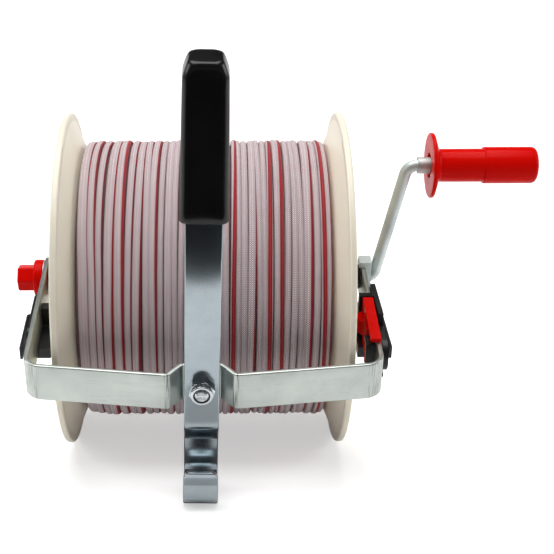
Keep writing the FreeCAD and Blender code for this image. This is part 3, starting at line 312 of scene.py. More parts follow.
paper_finish, tree, shader = new_finish("pale_paper", Base_Color=(0.86, 0.86, 0.86, 1.0), Roughness=0.9,
                                        Specular_IOR_Level=0.0, Emission_Color=WHITE)
rays = put(tree, "LightPath").outputs
seen = maths(tree, "MAXIMUM", rays["Is Camera Ray"], rays["Is Glossy Ray"])
seen = maths(tree, "MAXIMUM", seen, rays["Is Transmission Ray"])
glow = maths(tree, "ADD", between(tree, seen, 0.0, PAPER_GLOW),
             between(tree, rays["Is Camera Ray"], 0.0, PAPER_GLOW_FOR_CAMERA))
tree.links.new(glow, shader.inputs["Emission Strength"])
paper_mesh.materials.append(paper_finish)
bpy.context.scene.view_settings.view_transform = "Standard"
print("world and paper lit")

# %% [markdown]
# ## Surfaces worked out with numpy
# Every new piece is a grid of points: a profile turned about a line along the drum, a profile carried
# along a bent line or the rope's helix, or a stack of outlines. Whole arrays are worked out at once and
# then put into a mesh. Points that fall together at a pole or seam are merged, and the faces are turned
# outwards, so every piece is closed.

# %% Grid to mesh
MERGE_DISTANCE = 1e-6


def make_piece(name, points, body, finish, slot, wrap_rows=False, wrap_columns=False, caps=False, maps=None,
               sharp=None):
    """Object from a grid of reel points. Each map gives a pair of numbers for every point, as a UV map."""
    rows, columns = points.shape[:2]
    faces = grid_faces(rows, columns, wrap_rows, wrap_columns).tolist()
    if caps:
        faces.append(list(range(columns)))
        faces.append(list(range((rows - 1) * columns, rows * columns)))
    mesh = bpy.data.meshes.new(name)
    mesh.from_pydata(on_reel(points).reshape(-1, 3).tolist(), [], faces)
    for map_name, pairs in (maps or {}).items():
        layer = mesh.uv_layers.new(name=map_name)
        corners = np.zeros(len(mesh.loops), int)
        mesh.loops.foreach_get("vertex_index", corners)
        layer.data.foreach_set("uv", pairs.reshape(-1, 2)[corners].astype(np.float32).ravel())
    shape = bmesh.new()
    shape.from_mesh(mesh)
    bmesh.ops.remove_doubles(shape, verts=shape.verts, dist=MERGE_DISTANCE)
    bmesh.ops.recalc_face_normals(shape, faces=shape.faces)
    shape.to_mesh(mesh)
    shape.free()
    mesh.shade_smooth()
    if sharp is not None:
        mesh.set_sharp_from_angle(angle=math.radians(sharp))
    mesh.materials.append(finish)
    piece = link(bpy.data.objects.new(name, mesh))
    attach(piece, body)
    print(name, len(mesh.polygons), "faces")
    return piece


print("points closer than", MERGE_DISTANCE, "m are merged")

# %% [markdown]
# ## Lines with round corners
# Turned and bent parts have arcs at their corners. A line is given by its corners and a radius for each,
# as on a drawing, and the arcs are worked out. The piece then has few given numbers and stays smooth.

# %% Round corners and turned pieces
ARC_STEP = 12.0
STRAIGHT = 1e-6


def round_corners(corners, radii, step=ARC_STEP):
    """Open line in a plane with an arc at each corner, and one point every few degrees (step) of bend.

    An arc starts before its corner by its radius times the tangent of half the turn. Its points are the
    centre plus the start's offset turned by even angles.
    """
    corners = np.asarray(corners, float)
    line = [corners[:1]]
    for before, corner, after, radius in zip(corners[:-2], corners[1:-1], corners[2:], radii):
        come = (corner - before) / np.linalg.norm(corner - before)
        leave = (after - corner) / np.linalg.norm(after - corner)
        turn = math.atan2(come[0] * leave[1] - come[1] * leave[0], come @ leave)
        if radius <= 0 or abs(turn) < STRAIGHT:
            line.append(corner[None])
            continue
        reach = radius * math.tan(abs(turn) / 2)
        side = np.array([-come[1], come[0]]) * np.sign(turn)
        centre = corner - come * reach + side * radius
        spin = np.linspace(0, turn, max(2, int(abs(math.degrees(turn)) / step) + 2))[:, None]
        start = -side * radius
        across_start = np.array([-start[1], start[0]])
        line.append(centre + np.cos(spin) * start + np.sin(spin) * across_start)
    line.append(corners[-1:])
    return np.concatenate(line)


def turned_piece(name, profile, radii, body, finish, slot, height=0.0, steps=96, sharp=None, **options):
    """Profile of pairs (x, radius) with rounded corners, turned about a line along x at the given height.

    A point has y, the radius times the cosine of its angle, and z, the height plus the radius times the sine.
    """
    line = round_corners(profile, radii)
    angle = np.linspace(0, 2 * math.pi, steps, endpoint=False)[None, :]
    along_x = np.broadcast_to(line[:, :1], (len(line), steps))
    points = np.stack([along_x, line[:, 1:] * np.cos(angle), height + line[:, 1:] * np.sin(angle)], axis=-1)
    return make_piece(name, points, body, finish, slot, wrap_columns=True, sharp=sharp, **options)


print("arcs have a point every", ARC_STEP, "degrees")

# %% [markdown]
# ## Sections along a line
# A strip or a rod is one section carried along a bent line. At every point of the line the section needs
# the line's normal, and it needs points close enough together for the bends and the rounded ends.

# %% Section, normals and points along a line
def strip_profile(depth, width, round_radius, steps=5):
    """Closed rectangle with rounded corners, as points (through the thickness, across the width)."""
    quarter = np.linspace(0, math.pi / 2, steps)
    corner = np.stack([np.cos(quarter), np.sin(quarter)], axis=1) * round_radius
    half = np.array([depth, width]) / 2 - round_radius
    quarters = [(1, 1, corner), (-1, 1, corner[::-1]), (-1, -1, corner), (1, -1, corner[::-1])]
    return np.concatenate([(half + part) * [sx, sy] for sx, sy, part in quarters])


def path_frame(path):
    """Unit normals to the left of a line in a plane, from the directions of its neighbouring runs."""
    runs = np.diff(path, axis=0)
    runs /= np.linalg.norm(runs, axis=1)[:, None]
    way = np.concatenate([runs[:1], runs[:-1] + runs[1:], runs[-1:]])
    way /= np.linalg.norm(way, axis=1)[:, None]
    return np.stack([-way[:, 1], way[:, 0]], axis=1)


def subdivided(path, spacing):
    """The line with more points, no further apart than the spacing, and each point's place along it."""
    run = np.linalg.norm(np.diff(path, axis=0), axis=1)
    place = np.concatenate([[0.0], np.cumsum(run)])
    pieces = [np.linspace(a, b, max(1, int(math.ceil((b - a) / spacing))), endpoint=False)
              for a, b in zip(place[:-1], place[1:])]
    fine = np.concatenate(pieces + [place[-1:]])
    return np.stack([np.interp(fine, place, path[:, k]) for k in range(path.shape[1])], axis=1), fine


def quarter_places(radius, count):
    """Places that a quarter circle of points has along its depth: radius times one minus the cosine."""
    return radius * (1 - np.cos(np.linspace(0, math.pi / 2, count)))


def inset(distance, radius):
    """How far a quarter circle of the given radius lies inside its square at a distance from the end."""
    short = np.clip(radius - distance, 0.0, radius)
    return radius - np.sqrt(radius ** 2 - short ** 2)


print("rounding of 1 mm has places", np.round(quarter_places(1.0, 5), 3))

# %% [markdown]
# ## Shared effects
# Small node groups carry the effects that several finishes share, so that each is built once and placed
# with other values. The cloudy tone is slow noise in space. Scratches are noise squeezed along two axes so
# that it runs in thin lines. Rubbed edges read how much the surface sticks out at a point, which the
# renderer knows as pointiness. Each group puts out values only, and each finish keeps its own Principled
# shader.

# %% Shared effects
cloudy_tone, given, result = new_group("cloudy_tone", [("Vector", "Vector", None), ("Size", "Float", 0.03)],
                                       ["Tone"])
cloud = put(cloudy_tone, "TexNoise", {"Vector": given["Vector"], "Detail": 5.0, "Roughness": 0.6,
                                      "Scale": maths(cloudy_tone, "DIVIDE", 1.0, given["Size"])})
cloudy_tone.links.new(mapped(cloudy_tone, cloud.outputs["Fac"], 0.3, 0.7), result["Tone"])

fine_scratches, given, result = new_group(
    "fine_scratches", [("Vector", "Vector", None), ("Cover", "Float", 0.5)], ["Mask", "Height"])
thin = put(fine_scratches, "TexNoise", {"Vector": given["Vector"], "Scale": 1.0, "Detail": 3.0})
ridge = maths(fine_scratches, "ABSOLUTE", maths(fine_scratches, "SUBTRACT", thin.outputs["Fac"], 0.5))
line = mapped(fine_scratches, ridge, 0.0, 0.02, 1.0, 0.0)
patch = put(fine_scratches, "TexNoise", {"Vector": given["Vector"], "Scale": 0.23, "Detail": 1.0})
allowed = maths(fine_scratches, "LESS_THAN", patch.outputs["Fac"], given["Cover"])
fine_scratches.links.new(maths(fine_scratches, "MULTIPLY", line, allowed), result["Mask"])
fine_scratches.links.new(thin.outputs["Fac"], result["Height"])

rubbed_edge, given, result = new_group(
    "rubbed_edge", [("Vector", "Vector", None), ("From", "Float", 0.52), ("To", "Float", 0.62)], ["Mask"])
sticking_out = put(rubbed_edge, "NewGeometry").outputs["Pointiness"]
edge = mapped(rubbed_edge, sticking_out, given["From"], given["To"])
broken = put(rubbed_edge, "TexNoise", {"Vector": given["Vector"], "Scale": 180.0, "Detail": 3.0})
worn = mapped(rubbed_edge, broken.outputs["Fac"], 0.35, 0.6, 0.35, 1.0)
rubbed_edge.links.new(maths(rubbed_edge, "MULTIPLY", edge, worn), result["Mask"])


def stretched(tree, scale):
    """Object place scaled along each axis, which turns even noise into lines."""
    return put(tree, "Mapping", {"Vector": object_place(tree), "Scale": scale}).outputs["Vector"]


print("shared effects", [group.name for group in bpy.data.node_groups])

# %% [markdown]
# ## Zinc plate
# Strip, bar, rod and fixings are plated steel. The thin zinc layer is bright but not polished: it mirrors
# softly, in cloudy patches, with drawing lines along the steel and a few scratches. The bar is smoother
# and brushed along its length, which smears mirror images across it. Bumps as fine as real brushing would
# need many samples, so the shader's anisotropy does it, with a tangent from the strip's own map. The
# yoke's edges are worn dark. Where a strip is bent, its plating is crazed with fine dark cracks across it.

# %% Zinc finishes
SCRATCHED_ZINC = (0.30, 0.31, 0.33, 1.0)
CRACKED_ZINC = (0.07, 0.08, 0.07, 1.0)
PALE_EDGE = (0.90, 0.90, 0.88, 1.0)
QUARTER_TURN = 0.25
SCRATCHES_SHOW = 0.35
WEAR_SHOWS = 0.7


def crazing(tree):
    """Mask of thin streaks across a strip, only where the strip's map of bends says that it is bent."""
    place = put(tree, "Mapping", {"Vector": map_place(tree, "strip"), "Scale": (1400.0, 45.0, 1.0)})
    streaks = put(tree, "TexNoise", {"Vector": place.outputs["Vector"], "Scale": 1.0, "Detail": 3.0})
    cracks = mapped(tree, streaks.outputs["Fac"], 0.50, 0.62)
    bend = put(tree, "SeparateXYZ", {"Vector": map_place(tree, "bend")}).outputs["X"]
    return maths(tree, "MULTIPLY", cracks, bend)


def zinc_finish(name, light, dark, smooth, dull, lines, grain=0.06, worn=PALE_EDGE, brushed=0.0, crazed=0.0):
    """Plate between two colours and two roughnesses, with scratches, worn edges, brushing and crazing."""
    finish, tree, shader = new_finish(name, Metallic=1.0, Anisotropic=brushed,
                                      Anisotropic_Rotation=QUARTER_TURN)
    if brushed:
        along_strip = put(tree, "Tangent", direction_type="UV_MAP", uv_map="strip").outputs["Tangent"]
        tree.links.new(along_strip, shader.inputs["Tangent"])
    tone = use_group(tree, cloudy_tone, {"Vector": object_place(tree), "Size": 0.022})["Tone"]
    marks = use_group(tree, fine_scratches, {"Vector": stretched(tree, lines), "Cover": 0.48})
    rubbed = use_group(tree, rubbed_edge, {"Vector": object_place(tree)})["Mask"]
    colour = blended(tree, tone, light, dark)
    colour = blended(tree, maths(tree, "MULTIPLY", marks["Mask"], SCRATCHES_SHOW), colour, SCRATCHED_ZINC)
    colour = blended(tree, maths(tree, "MULTIPLY", rubbed, WEAR_SHOWS), colour, worn)
    if crazed:
        colour = blended(tree, maths(tree, "MULTIPLY", crazing(tree), crazed), colour, CRACKED_ZINC)
    tree.links.new(colour, shader.inputs["Base Color"])
    rough = between(tree, tone, smooth, dull)
    tree.links.new(maths(tree, "ADD", rough, maths(tree, "MULTIPLY", marks["Mask"], grain * 2.5)),
                   shader.inputs["Roughness"])
    bump = put(tree, "Bump", {"Height": marks["Height"], "Strength": grain, "Distance": 0.0004})
    tree.links.new(bump.outputs["Normal"], shader.inputs["Normal"])
    return finish


zinc_strip = zinc_finish("zinc_strip", light=(0.58, 0.62, 0.58, 1.0), dark=(0.50, 0.54, 0.51, 1.0),
                         smooth=0.28, dull=0.38, lines=(40.0, 300.0, 900.0), grain=0.05,
                         worn=(0.16, 0.16, 0.13, 1.0), crazed=0.8)
zinc_bar = zinc_finish("zinc_bar", light=(0.43, 0.49, 0.52, 1.0), dark=(0.36, 0.42, 0.45, 1.0),
                       smooth=0.16, dull=0.20, lines=(900.0, 300.0, 60.0), grain=0.004,
                       worn=(0.80, 0.82, 0.82, 1.0), brushed=0.80, crazed=0.4)
zinc_small = zinc_finish("zinc_small", light=(0.76, 0.80, 0.82, 1.0), dark=(0.62, 0.67, 0.70, 1.0),
                         smooth=0.14, dull=0.26, lines=(500.0, 500.0, 500.0))
zinc_rod = zinc_finish("zinc_rod", light=(0.72, 0.78, 0.77, 1.0), dark=(0.64, 0.70, 0.70, 1.0),
                       smooth=0.52, dull=0.62, lines=(700.0, 700.0, 160.0), worn=(0.50, 0.52, 0.50, 1.0))
print("zinc finishes", [zinc.name for zinc in (zinc_strip, zinc_bar, zinc_small, zinc_rod)])

# %% [markdown]
# ## Plastics
# Cream drum, glossy red knob, handle and lever, black grip and black nylon clips. A single colour would
# look like a picture of plastic. Moulded plastic has a faint cloudiness, a very fine skin and corners that
# are rubbed a little paler, and one function gives each of the four its own amounts. The cream also lets a
# little light in below its surface.

# %% Plastic finishes
RUBBING_SHOWS = 0.3


def plastic_finish(name, colour, deeper, worn, smooth, dull, grain, grain_size, **values):
    """Plastic between two colours and two roughnesses, with a skin of fine bumps and paler corners."""
    finish, tree, shader = new_finish(name, **values)
    tone = use_group(tree, cloudy_tone, {"Vector": object_place(tree), "Size": 0.05})["Tone"]
    rubbed = use_group(tree, rubbed_edge, {"Vector": object_place(tree)})["Mask"]
    body = blended(tree, tone, colour, deeper)
    rubbed_body = blended(tree, maths(tree, "MULTIPLY", rubbed, RUBBING_SHOWS), body, worn)
    tree.links.new(rubbed_body, shader.inputs["Base Color"])
    tree.links.new(between(tree, tone, smooth, dull), shader.inputs["Roughness"])
    skin = put(tree, "TexNoise", {"Vector": object_place(tree), "Scale": 1.0 / grain_size, "Detail": 3.0})
    bump = put(tree, "Bump", {"Height": skin.outputs["Fac"], "Strength": grain, "Distance": 0.0003})
    tree.links.new(bump.outputs["Normal"], shader.inputs["Normal"])
    return finish


cream_plastic = plastic_finish("cream_plastic", colour=(0.83, 0.78, 0.65, 1.0),
                               deeper=(0.79, 0.73, 0.60, 1.0), worn=(0.87, 0.84, 0.77, 1.0), smooth=0.30,
                               dull=0.42, grain=0.05, grain_size=0.004, Subsurface_Weight=0.15,
                               Subsurface_Radius=(0.004, 0.003, 0.002), Subsurface_Scale=1.0)
red_plastic = plastic_finish("red_plastic", colour=(0.65, 0.003, 0.001, 1.0),
                             deeper=(0.58, 0.002, 0.001, 1.0), worn=(0.80, 0.06, 0.05, 1.0), smooth=0.20,
                             dull=0.28, grain=0.05, grain_size=0.002, Specular_IOR_Level=0.05)
black_grip = plastic_finish("black_grip", colour=(0.004, 0.004, 0.0045, 1.0),
                            deeper=(0.006, 0.006, 0.0065, 1.0), worn=(0.03, 0.03, 0.03, 1.0), smooth=0.18,
                            dull=0.26, grain=0.04, grain_size=0.0011, Specular_IOR_Level=0.30)
black_nylon = plastic_finish("black_nylon", colour=(0.008, 0.008, 0.009, 1.0),
                             deeper=(0.011, 0.011, 0.012, 1.0), worn=(0.05, 0.05, 0.05, 1.0), smooth=0.30,
                             dull=0.40, grain=0.15, grain_size=0.0015, Specular_IOR_Level=0.35)
print("plastics", [plastic.name for plastic in (cream_plastic, red_plastic, black_grip, black_nylon)])

# %% [markdown]
# ## Braided rope
# The electric rope is braided from white plastic yarn with red tracer yarns. Real strands would be
# thousands of small tubes. From this distance a pattern with bumps looks the same, and it is worked out in
# the rope's own coordinates: metres along it and metres round it. Two sets of strands cross at 45 degrees.
# Where the two diagonal counts add up to an even number one set lies on top, else the other.

# %% Braid
braid, given, result = new_group("braid", [("Vector", "Vector", None), ("Pitch", "Float", 0.0016)],
                                 ["Height", "Lay"])
lay = put(braid, "SeparateXYZ", {"Vector": given["Vector"]}).outputs
rising = maths(braid, "DIVIDE", maths(braid, "ADD", lay["X"], lay["Y"]), given["Pitch"])
falling = maths(braid, "DIVIDE", maths(braid, "SUBTRACT", lay["X"], lay["Y"]), given["Pitch"])
pillows = [maths(braid, "SINE", maths(braid, "MULTIPLY", maths(braid, "FRACT", count), math.pi))
           for count in (rising, falling)]
pillow = maths(braid, "POWER", maths(braid, "MULTIPLY", pillows[0], pillows[1]), 0.5)
cells = maths(braid, "ADD", maths(braid, "FLOOR", rising), maths(braid, "FLOOR", falling))
braid.links.new(pillow, result["Height"])
braid.links.new(maths(braid, "FLOORED_MODULO", cells, 2.0), result["Lay"])
print("braid gives", list(result.keys())[:2])

# %% [markdown]
# ## Rope finish
# A broad red tracer runs along one side of the rope. Its place comes from a second map, which holds the sine and
# cosine of the angle from the tracer's middle, so that it has no jump where the angle starts again. A painted
# highlight runs along its middle as a paler line. The yarn is a little soiled in patches. One set of strands is
# painted darker than the other, as painted shade from the way it faces the light. Painted shade also darkens the
# yarn between the strands.

# %% Rope finish
WHITE_YARN = (0.97, 0.93, 0.93, 1.0)
SOILED_YARN = (0.92, 0.82, 0.84, 1.0)
CROSSING_YARN_SHADE = (0.62, 0.46, 0.49, 1.0)
RED_YARN = (0.66, 0.010, 0.022, 1.0)
CROSSING_RED_SHADE = (0.34, 0.006, 0.014, 1.0)
PAINTED_SEAM_HIGHLIGHT = (0.70, 0.14, 0.14, 1.0)
PAINTED_STRAND_SHADE = (0.24, 0.10, 0.11, 1.0)
rope_finish, tree, shader = new_finish("fence_rope", Roughness=0.75, Specular_IOR_Level=0.25,
                                       Sheen_Weight=0.15, Sheen_Roughness=0.5)
weave = use_group(tree, braid, {"Vector": map_place(tree, "lay")})
side_front = put(tree, "SeparateXYZ", {"Vector": map_place(tree, "tracer")}).outputs
off_middle = maths(tree, "ABSOLUTE", side_front["X"])
near = mapped(tree, off_middle, 0.62, 0.68, 1.0, 0.0)
tracer = maths(tree, "MULTIPLY", near, maths(tree, "GREATER_THAN", side_front["Y"], 0.0))
tone = use_group(tree, cloudy_tone, {"Vector": object_place(tree), "Size": 0.012})["Tone"]
yarn = blended(tree, tone, WHITE_YARN, SOILED_YARN)
# Painted shade: the strand set that faces the light less is darker, in the white yarn and in the red.
crossing_with_shade = blended(tree, maths(tree, "MULTIPLY", weave["Lay"], 0.6), yarn, CROSSING_YARN_SHADE)
red_yarn = blended(tree, weave["Lay"], RED_YARN, CROSSING_RED_SHADE)
# Painted highlight: a paler red line along the tracer's middle.
red_yarn = blended(tree, mapped(tree, off_middle, 0.05, 0.11, 0.6, 0.0), red_yarn, PAINTED_SEAM_HIGHLIGHT)
strands = blended(tree, tracer, crossing_with_shade, red_yarn)
# Painted shade: the yarn darkens where the braid is low, between the strands.
shade = blended(tree, weave["Height"], PAINTED_STRAND_SHADE, WHITE)
strands_with_shade = put(tree, "Mix", {0: 1.0, 6: strands, 7: shade}, data_type="RGBA", blend_type="MULTIPLY").outputs[2]
tree.links.new(strands_with_shade, shader.inputs["Base Color"])
bump = put(tree, "Bump", {"Height": weave["Height"], "Strength": 0.8, "Distance": 0.0005})
tree.links.new(bump.outputs["Normal"], shader.inputs["Normal"])
print("rope finish", len(tree.nodes), "nodes")

# %% [markdown]
# ## Turns of the rope
# The rope lies in 35 turns beside each other. A row of equal rings would be easier, but hand winding isn't
# even. The first list gives about where the grooves between the turns lie at the front, in millimetres
# along the drum. The second gives where each turn has its tracer there: degrees round the rope from its
# outermost line, towards the crank.

# %% Grooves and tracers
GROOVES = [-89.6, -82.1, -76.3, -71.3, -63.8, -56.3, -50.8, -44.2, -39.1, -32.8, -28.6, -22.0, -18.0, -14.1,
           -8.4, -2.6, 3.1, 8.9, 14.6, 19.2, 23.6, 27.1, 31.9, 37.9, 41.6, 46.4, 50.1, 54.6, 58.2, 62.8, 67.6,
           71.2, 78.9, 83.8, 88.3, 91.9]
TRACER = [85, 80, 95, 66, 66, 82, 73, 98, 72, 130, 73, 130, 135, 96, 78, 60, 104, 110, 130, 0, 135, 118, 77,
          112, 130, 0, 130, 20, 125, 118, 110, 66, 130, 0, 90]
grooves = np.array(GROOVES)
turns = len(grooves) - 1
centres = (grooves[:-1] + grooves[1:]) / 2
widths = np.diff(grooves)
print("turns", turns, "of", round(float(widths.min()), 1), "to", round(float(widths.max()), 1), "mm")

# %% [markdown]
# ## Course of the rope
# Each turn starts where the last one ends, so the rope is one long helix. At the front, in the middle of
# each turn, it lies between its two grooves. Slow waves move it sideways by up to a millimetre and lift
# it. On top of the drum the first turns lean to the left, as in the photograph. Near the flanges the waves
# fade and the layer is lower, and at its two ends the rope dives under its neighbour.

# %% Course of the rope
PACK_RADIUS = 108.7
HALF_HEIGHT = 2.7
SUNK = 0.5
TURN_STEPS = 150
SIDE_WAVES = [(0.5, 1.31, 0.4), (0.35, 0.57, 2.0), (0.25, 2.13, 1.1)]
LIFT_WAVES = [(0.35, 0.73, 0.9), (0.2, 1.87, 0.0)]
WANDER = 0.9
CALM_TURNS = 1.5
SHOULDER = 1.3
DIVE_TURNS = 0.35
DIVE = 4.0
LEANING_TURNS = 6
LEAN_ON_TOP = 2.8
TOP_REACH = 0.46


def summed_waves(angle, waves):
    """Sum of waves: the size of each times the sine of the angle times its number a turn, plus its start."""
    return sum(size * np.sin(angle * number + start) for size, number, start in waves)


turn = np.linspace(0.0, turns, turns * TURN_STEPS + 1)
front = np.arange(turns) + 0.5
around = 2 * math.pi * (turn - 0.5) + RISE
to_end = np.minimum(turn, turns - turn)
calm = np.clip(to_end / CALM_TURNS, 0.0, 1.0)
first_turns = np.clip(1.0 - turn / LEANING_TURNS, 0.0, 1.0)
on_top = np.clip((np.sin(around) - math.sin(RISE)) / TOP_REACH, 0.0, 1.0)
waves = summed_waves(around, SIDE_WAVES)
rope_x = np.interp(turn, front, centres) + WANDER * waves * calm - LEAN_ON_TOP * first_turns * on_top
dive = 1.0 - np.clip(to_end / DIVE_TURNS, 0.0, 1.0) ** 0.5
rope_r = (PACK_RADIUS - HALF_HEIGHT - SUNK + summed_waves(around, LIFT_WAVES) - SHOULDER * (1.0 - calm)
          - DIVE * dive)
length = np.concatenate([[0.0], np.cumsum(np.hypot(np.diff(rope_r), np.diff(around) * rope_r[1:]))]) / 1000
print("rope on top", round(float(length[-1]), 1), "m in", turns, "turns")

# %% [markdown]
# ## Section of the rope
# Pressed between its neighbours, the rope is as wide as its groove allows and slightly square. Its section
# is carried along the course, with the map of the braid and the map of the tracer.

# %% Rope winding
SQUARENESS = 0.85
WIDTH_SHARE = 0.51
NARROWEST = 2.2
WIDEST = 4.2
ROPE_RADIUS = 0.0029
TRACER_WANDER = 0.25


def squared(value):
    """Sine or cosine with its size raised to a power under one, which makes a circle slightly square."""
    return np.sign(value) * np.abs(value) ** SQUARENESS


section = np.linspace(-math.pi, math.pi, 15)
half_width = np.clip(np.interp(turn, front, widths) * WIDTH_SHARE, NARROWEST, WIDEST)
x = rope_x[:, None] + half_width[:, None] * squared(np.sin(section))
r = rope_r[:, None] + HALF_HEIGHT * squared(np.cos(section))
points = np.stack([x, -r * np.cos(around)[:, None], r * np.sin(around)[:, None]], axis=-1)
lay_map = np.stack(np.broadcast_arrays(length[:, None], section * ROPE_RADIUS), axis=-1)
tracer_angle = np.radians(np.interp(turn, front, TRACER)) + TRACER_WANDER * waves
offset = section[None, :] - tracer_angle[:, None]
tracer_map = np.stack([np.sin(offset), np.cos(offset)], axis=-1)
rope = make_piece("rope_winding", points, "drum", rope_finish, "fence_rope", caps=True,
                  maps={"lay": lay_map, "tracer": tracer_map})
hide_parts("wound_line")

# %% [markdown]
# ## Rope below the top layer
# More layers lie under the top one, and only dark lines of them show in the grooves. Turns for them would
# hardly be seen, so one smooth body in a shaded colour fills the drum to just below the top turns' middle.

# %% Rope below the top layer
# Both colours are painted shade of the rope that lies under the top layer.
SHADED_YARN = (0.20, 0.13, 0.14, 1.0)
DARKER_SHADED_YARN = (0.12, 0.06, 0.07, 1.0)
BELOW_HALF = 91.5
BELOW_RADIUS = 104.2
CORE_RADIUS = 35.4
under_finish, tree, shader = new_finish("rope_below", Roughness=0.9)
tone = use_group(tree, cloudy_tone, {"Vector": object_place(tree), "Size": 0.004})["Tone"]
tree.links.new(blended(tree, tone, SHADED_YARN, DARKER_SHADED_YARN), shader.inputs["Base Color"])
BELOW = [(-BELOW_HALF, CORE_RADIUS), (-BELOW_HALF, BELOW_RADIUS), (BELOW_HALF, BELOW_RADIUS),
         (BELOW_HALF, CORE_RADIUS)]
rope_under = turned_piece("rope_below", BELOW, [2.5, 2.5], "drum", under_finish, "fence_rope", steps=128,
                          wrap_rows=True, sharp=40)
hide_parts("wound_line")

# %% [markdown]
# ## Bent strips
# The yoke and the bar are flat steel, bent cold. A rounded rectangle is carried along each bent line.
# Towards an end the section first narrows along the end's rounding and then shrinks by the rounding of its
# edges. Two maps go along: the place on the strip in metres, and how sharply it is bent there, which
# crazes the plating. A flat strip with a bend modifier would be quicker, but its bends wouldn't lie where
# the CAD model has them.

# %% Strip along a bent line
BOLT_X, BOLT_Z = -1.2, -1.9
TILT = math.radians(1.08)
STRIP_SPACING = 5.0
BEND_STEP = 5.0
CRAZED_RADIUS = 6.0
LEAST_FLAT = 0.05


def tilted(points):
    """Points of the bar or the grip, turned sideways about the bolt by the bar's slight tilt."""
    x, y, z = np.moveaxis(np.asarray(points, float), -1, 0)
    above = z - BOLT_Z
    return np.stack([BOLT_X + x * math.cos(TILT) + above * math.sin(TILT), y,
                     BOLT_Z - x * math.sin(TILT) + above * math.cos(TILT)], axis=-1)


def bent_strip(name, corners, radii, size, edge_round, end_rounds, across_x, body, finish, slot):
    """Strip of size (thickness, width). Its line is in the level plane, or in the side plane if across_x.

    A point is the line's point plus the line's normal times its place through the thickness, and its place
    across the width is the third coordinate. Near the ends the section is inset by quarter circles.
    """
    thickness, width = size
    fine, place = subdivided(round_corners(corners, radii, step=BEND_STEP), STRIP_SPACING)
    total = place[-1]
    eases = quarter_places(edge_round, 6)
    starts = quarter_places(end_rounds[0], 9)
    ends = total - quarter_places(end_rounds[1], 9)
    stations = np.unique(np.round(np.concatenate([place, eases, total - eases, starts, ends]), 4))
    line = np.stack([np.interp(stations, place, fine[:, k]) for k in range(2)], axis=1)
    normals = path_frame(line)
    to_end = np.minimum(stations, total - stations)
    shrink = inset(to_end, edge_round)
    narrow = inset(stations, end_rounds[0]) + inset(total - stations, end_rounds[1])
    half_width = np.maximum(width / 2 - narrow, edge_round + LEAST_FLAT)
    outline = strip_profile(thickness, width, edge_round)
    signs = np.sign(outline)
    rounding = outline - signs * (np.array(size) / 2 - edge_round)
    flat = np.stack([np.full(len(stations), thickness / 2 - edge_round), half_width - edge_round], axis=1)
    section = signs * flat[:, None, :] + rounding * (1 - shrink / edge_round)[:, None, None]
    plane = line[:, None, :] + normals[:, None, :] * section[..., :1]
    if across_x:
        points = tilted(np.concatenate([section[..., 1:], plane], axis=-1))
    else:
        points = np.concatenate([plane, section[..., 1:]], axis=-1)
    heading = np.unwrap(np.arctan2(normals[:, 1], normals[:, 0]))
    bend = np.minimum(np.abs(np.gradient(heading) / np.gradient(stations)) * CRAZED_RADIUS, 1.0)
    strip_map = np.stack(np.broadcast_arrays(stations[:, None] / 1000, section[..., 1] / 1000), axis=-1)
    bend_map = np.stack(np.broadcast_arrays(bend[:, None], section[..., 0] / 1000), axis=-1)
    return make_piece(name, points, body, finish, slot, wrap_columns=True, caps=True, sharp=40,
                      maps={"strip": strip_map, "bend": bend_map})


# %% Yoke and bar
# The bar's line starts at its upper end, and its last points are the hook's tip.
BAR_MIDDLE = -142.5
YOKE_LINE = [(-124.85, 17.5), (-124.85, -138.0), (-25.2, -150.9), (-15.6, -138.85), (13.2, -138.85),
             (22.8, -150.9), (124.85, -138.0), (124.85, 17.5)]
BAR_LINE = [(BAR_MIDDLE, 232.0), (BAR_MIDDLE, -38.0), (-130.0, -55.0), (-130.0, -95.5), (-166.5, -95.5),
            (-166.5, -73.0), (-163.4, -61.8)]
yoke = bent_strip("bent_yoke", YOKE_LINE, [12, 3, 3, 3, 3, 12], (3.3, 29.2), 0.8, (14.0, 14.0), False,
                  "frame", zinc_strip, "zinc_plate")
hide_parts("frame_yoke")
bar = bent_strip("bent_bar", BAR_LINE, [8, 8, 17, 17, 30], (4.0, 25.0), 1.0, (1.5, 5.0), True,
                 "frame", zinc_bar, "zinc_plate")
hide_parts("handle_bar")

# %% [markdown]
# ## Crank rod
# Round bar of 9 mm, bent twice. A circle is carried along its line and the ends are slightly rounded. The
# shaft through the drum, the arm and the handle's spindle are the same rod, so they are one piece here
# too.

# %% Crank rod
SPINDLE_HEIGHT = 98.3
ROD_LINE = [(-143.5, 0.0), (134.3, 0.0), (154.0, SPINDLE_HEIGHT), (245.0, SPINDLE_HEIGHT)]
ROD_BENDS = [8, 9]
ROD_RADIUS = 4.5
ROD_END = 1.0
ROD_SPACING = 6.0
fine, place = subdivided(round_corners(ROD_LINE, ROD_BENDS, step=BEND_STEP), ROD_SPACING)
eases = quarter_places(ROD_END, 5)
stations = np.unique(np.round(np.concatenate([place, eases, place[-1] - eases]), 4))
line = np.stack([np.interp(stations, place, fine[:, k]) for k in range(2)], axis=1)
normals = path_frame(line)
radius = (ROD_RADIUS - inset(np.minimum(stations, place[-1] - stations), ROD_END))[:, None]
angle = np.linspace(0, 2 * math.pi, 32, endpoint=False)[None, :]
points = np.stack([line[:, :1] + normals[:, :1] * radius * np.cos(angle), radius * np.sin(angle),
                   line[:, 1:] + normals[:, 1:] * radius * np.cos(angle)], axis=-1)
rod = make_piece("bent_rod", points, "drum", zinc_rod, "zinc_plate", wrap_columns=True, caps=True, sharp=50)
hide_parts("crank_rod")

# %% [markdown]
# ## Red handle
# Turned shape with a disc that keeps the hand off the crank arm, a slim first part, a small step and a
# rounded end. The recess in the disc shows the sleeve that it turns on. Half its outline and a radius for
# each corner say all of it.

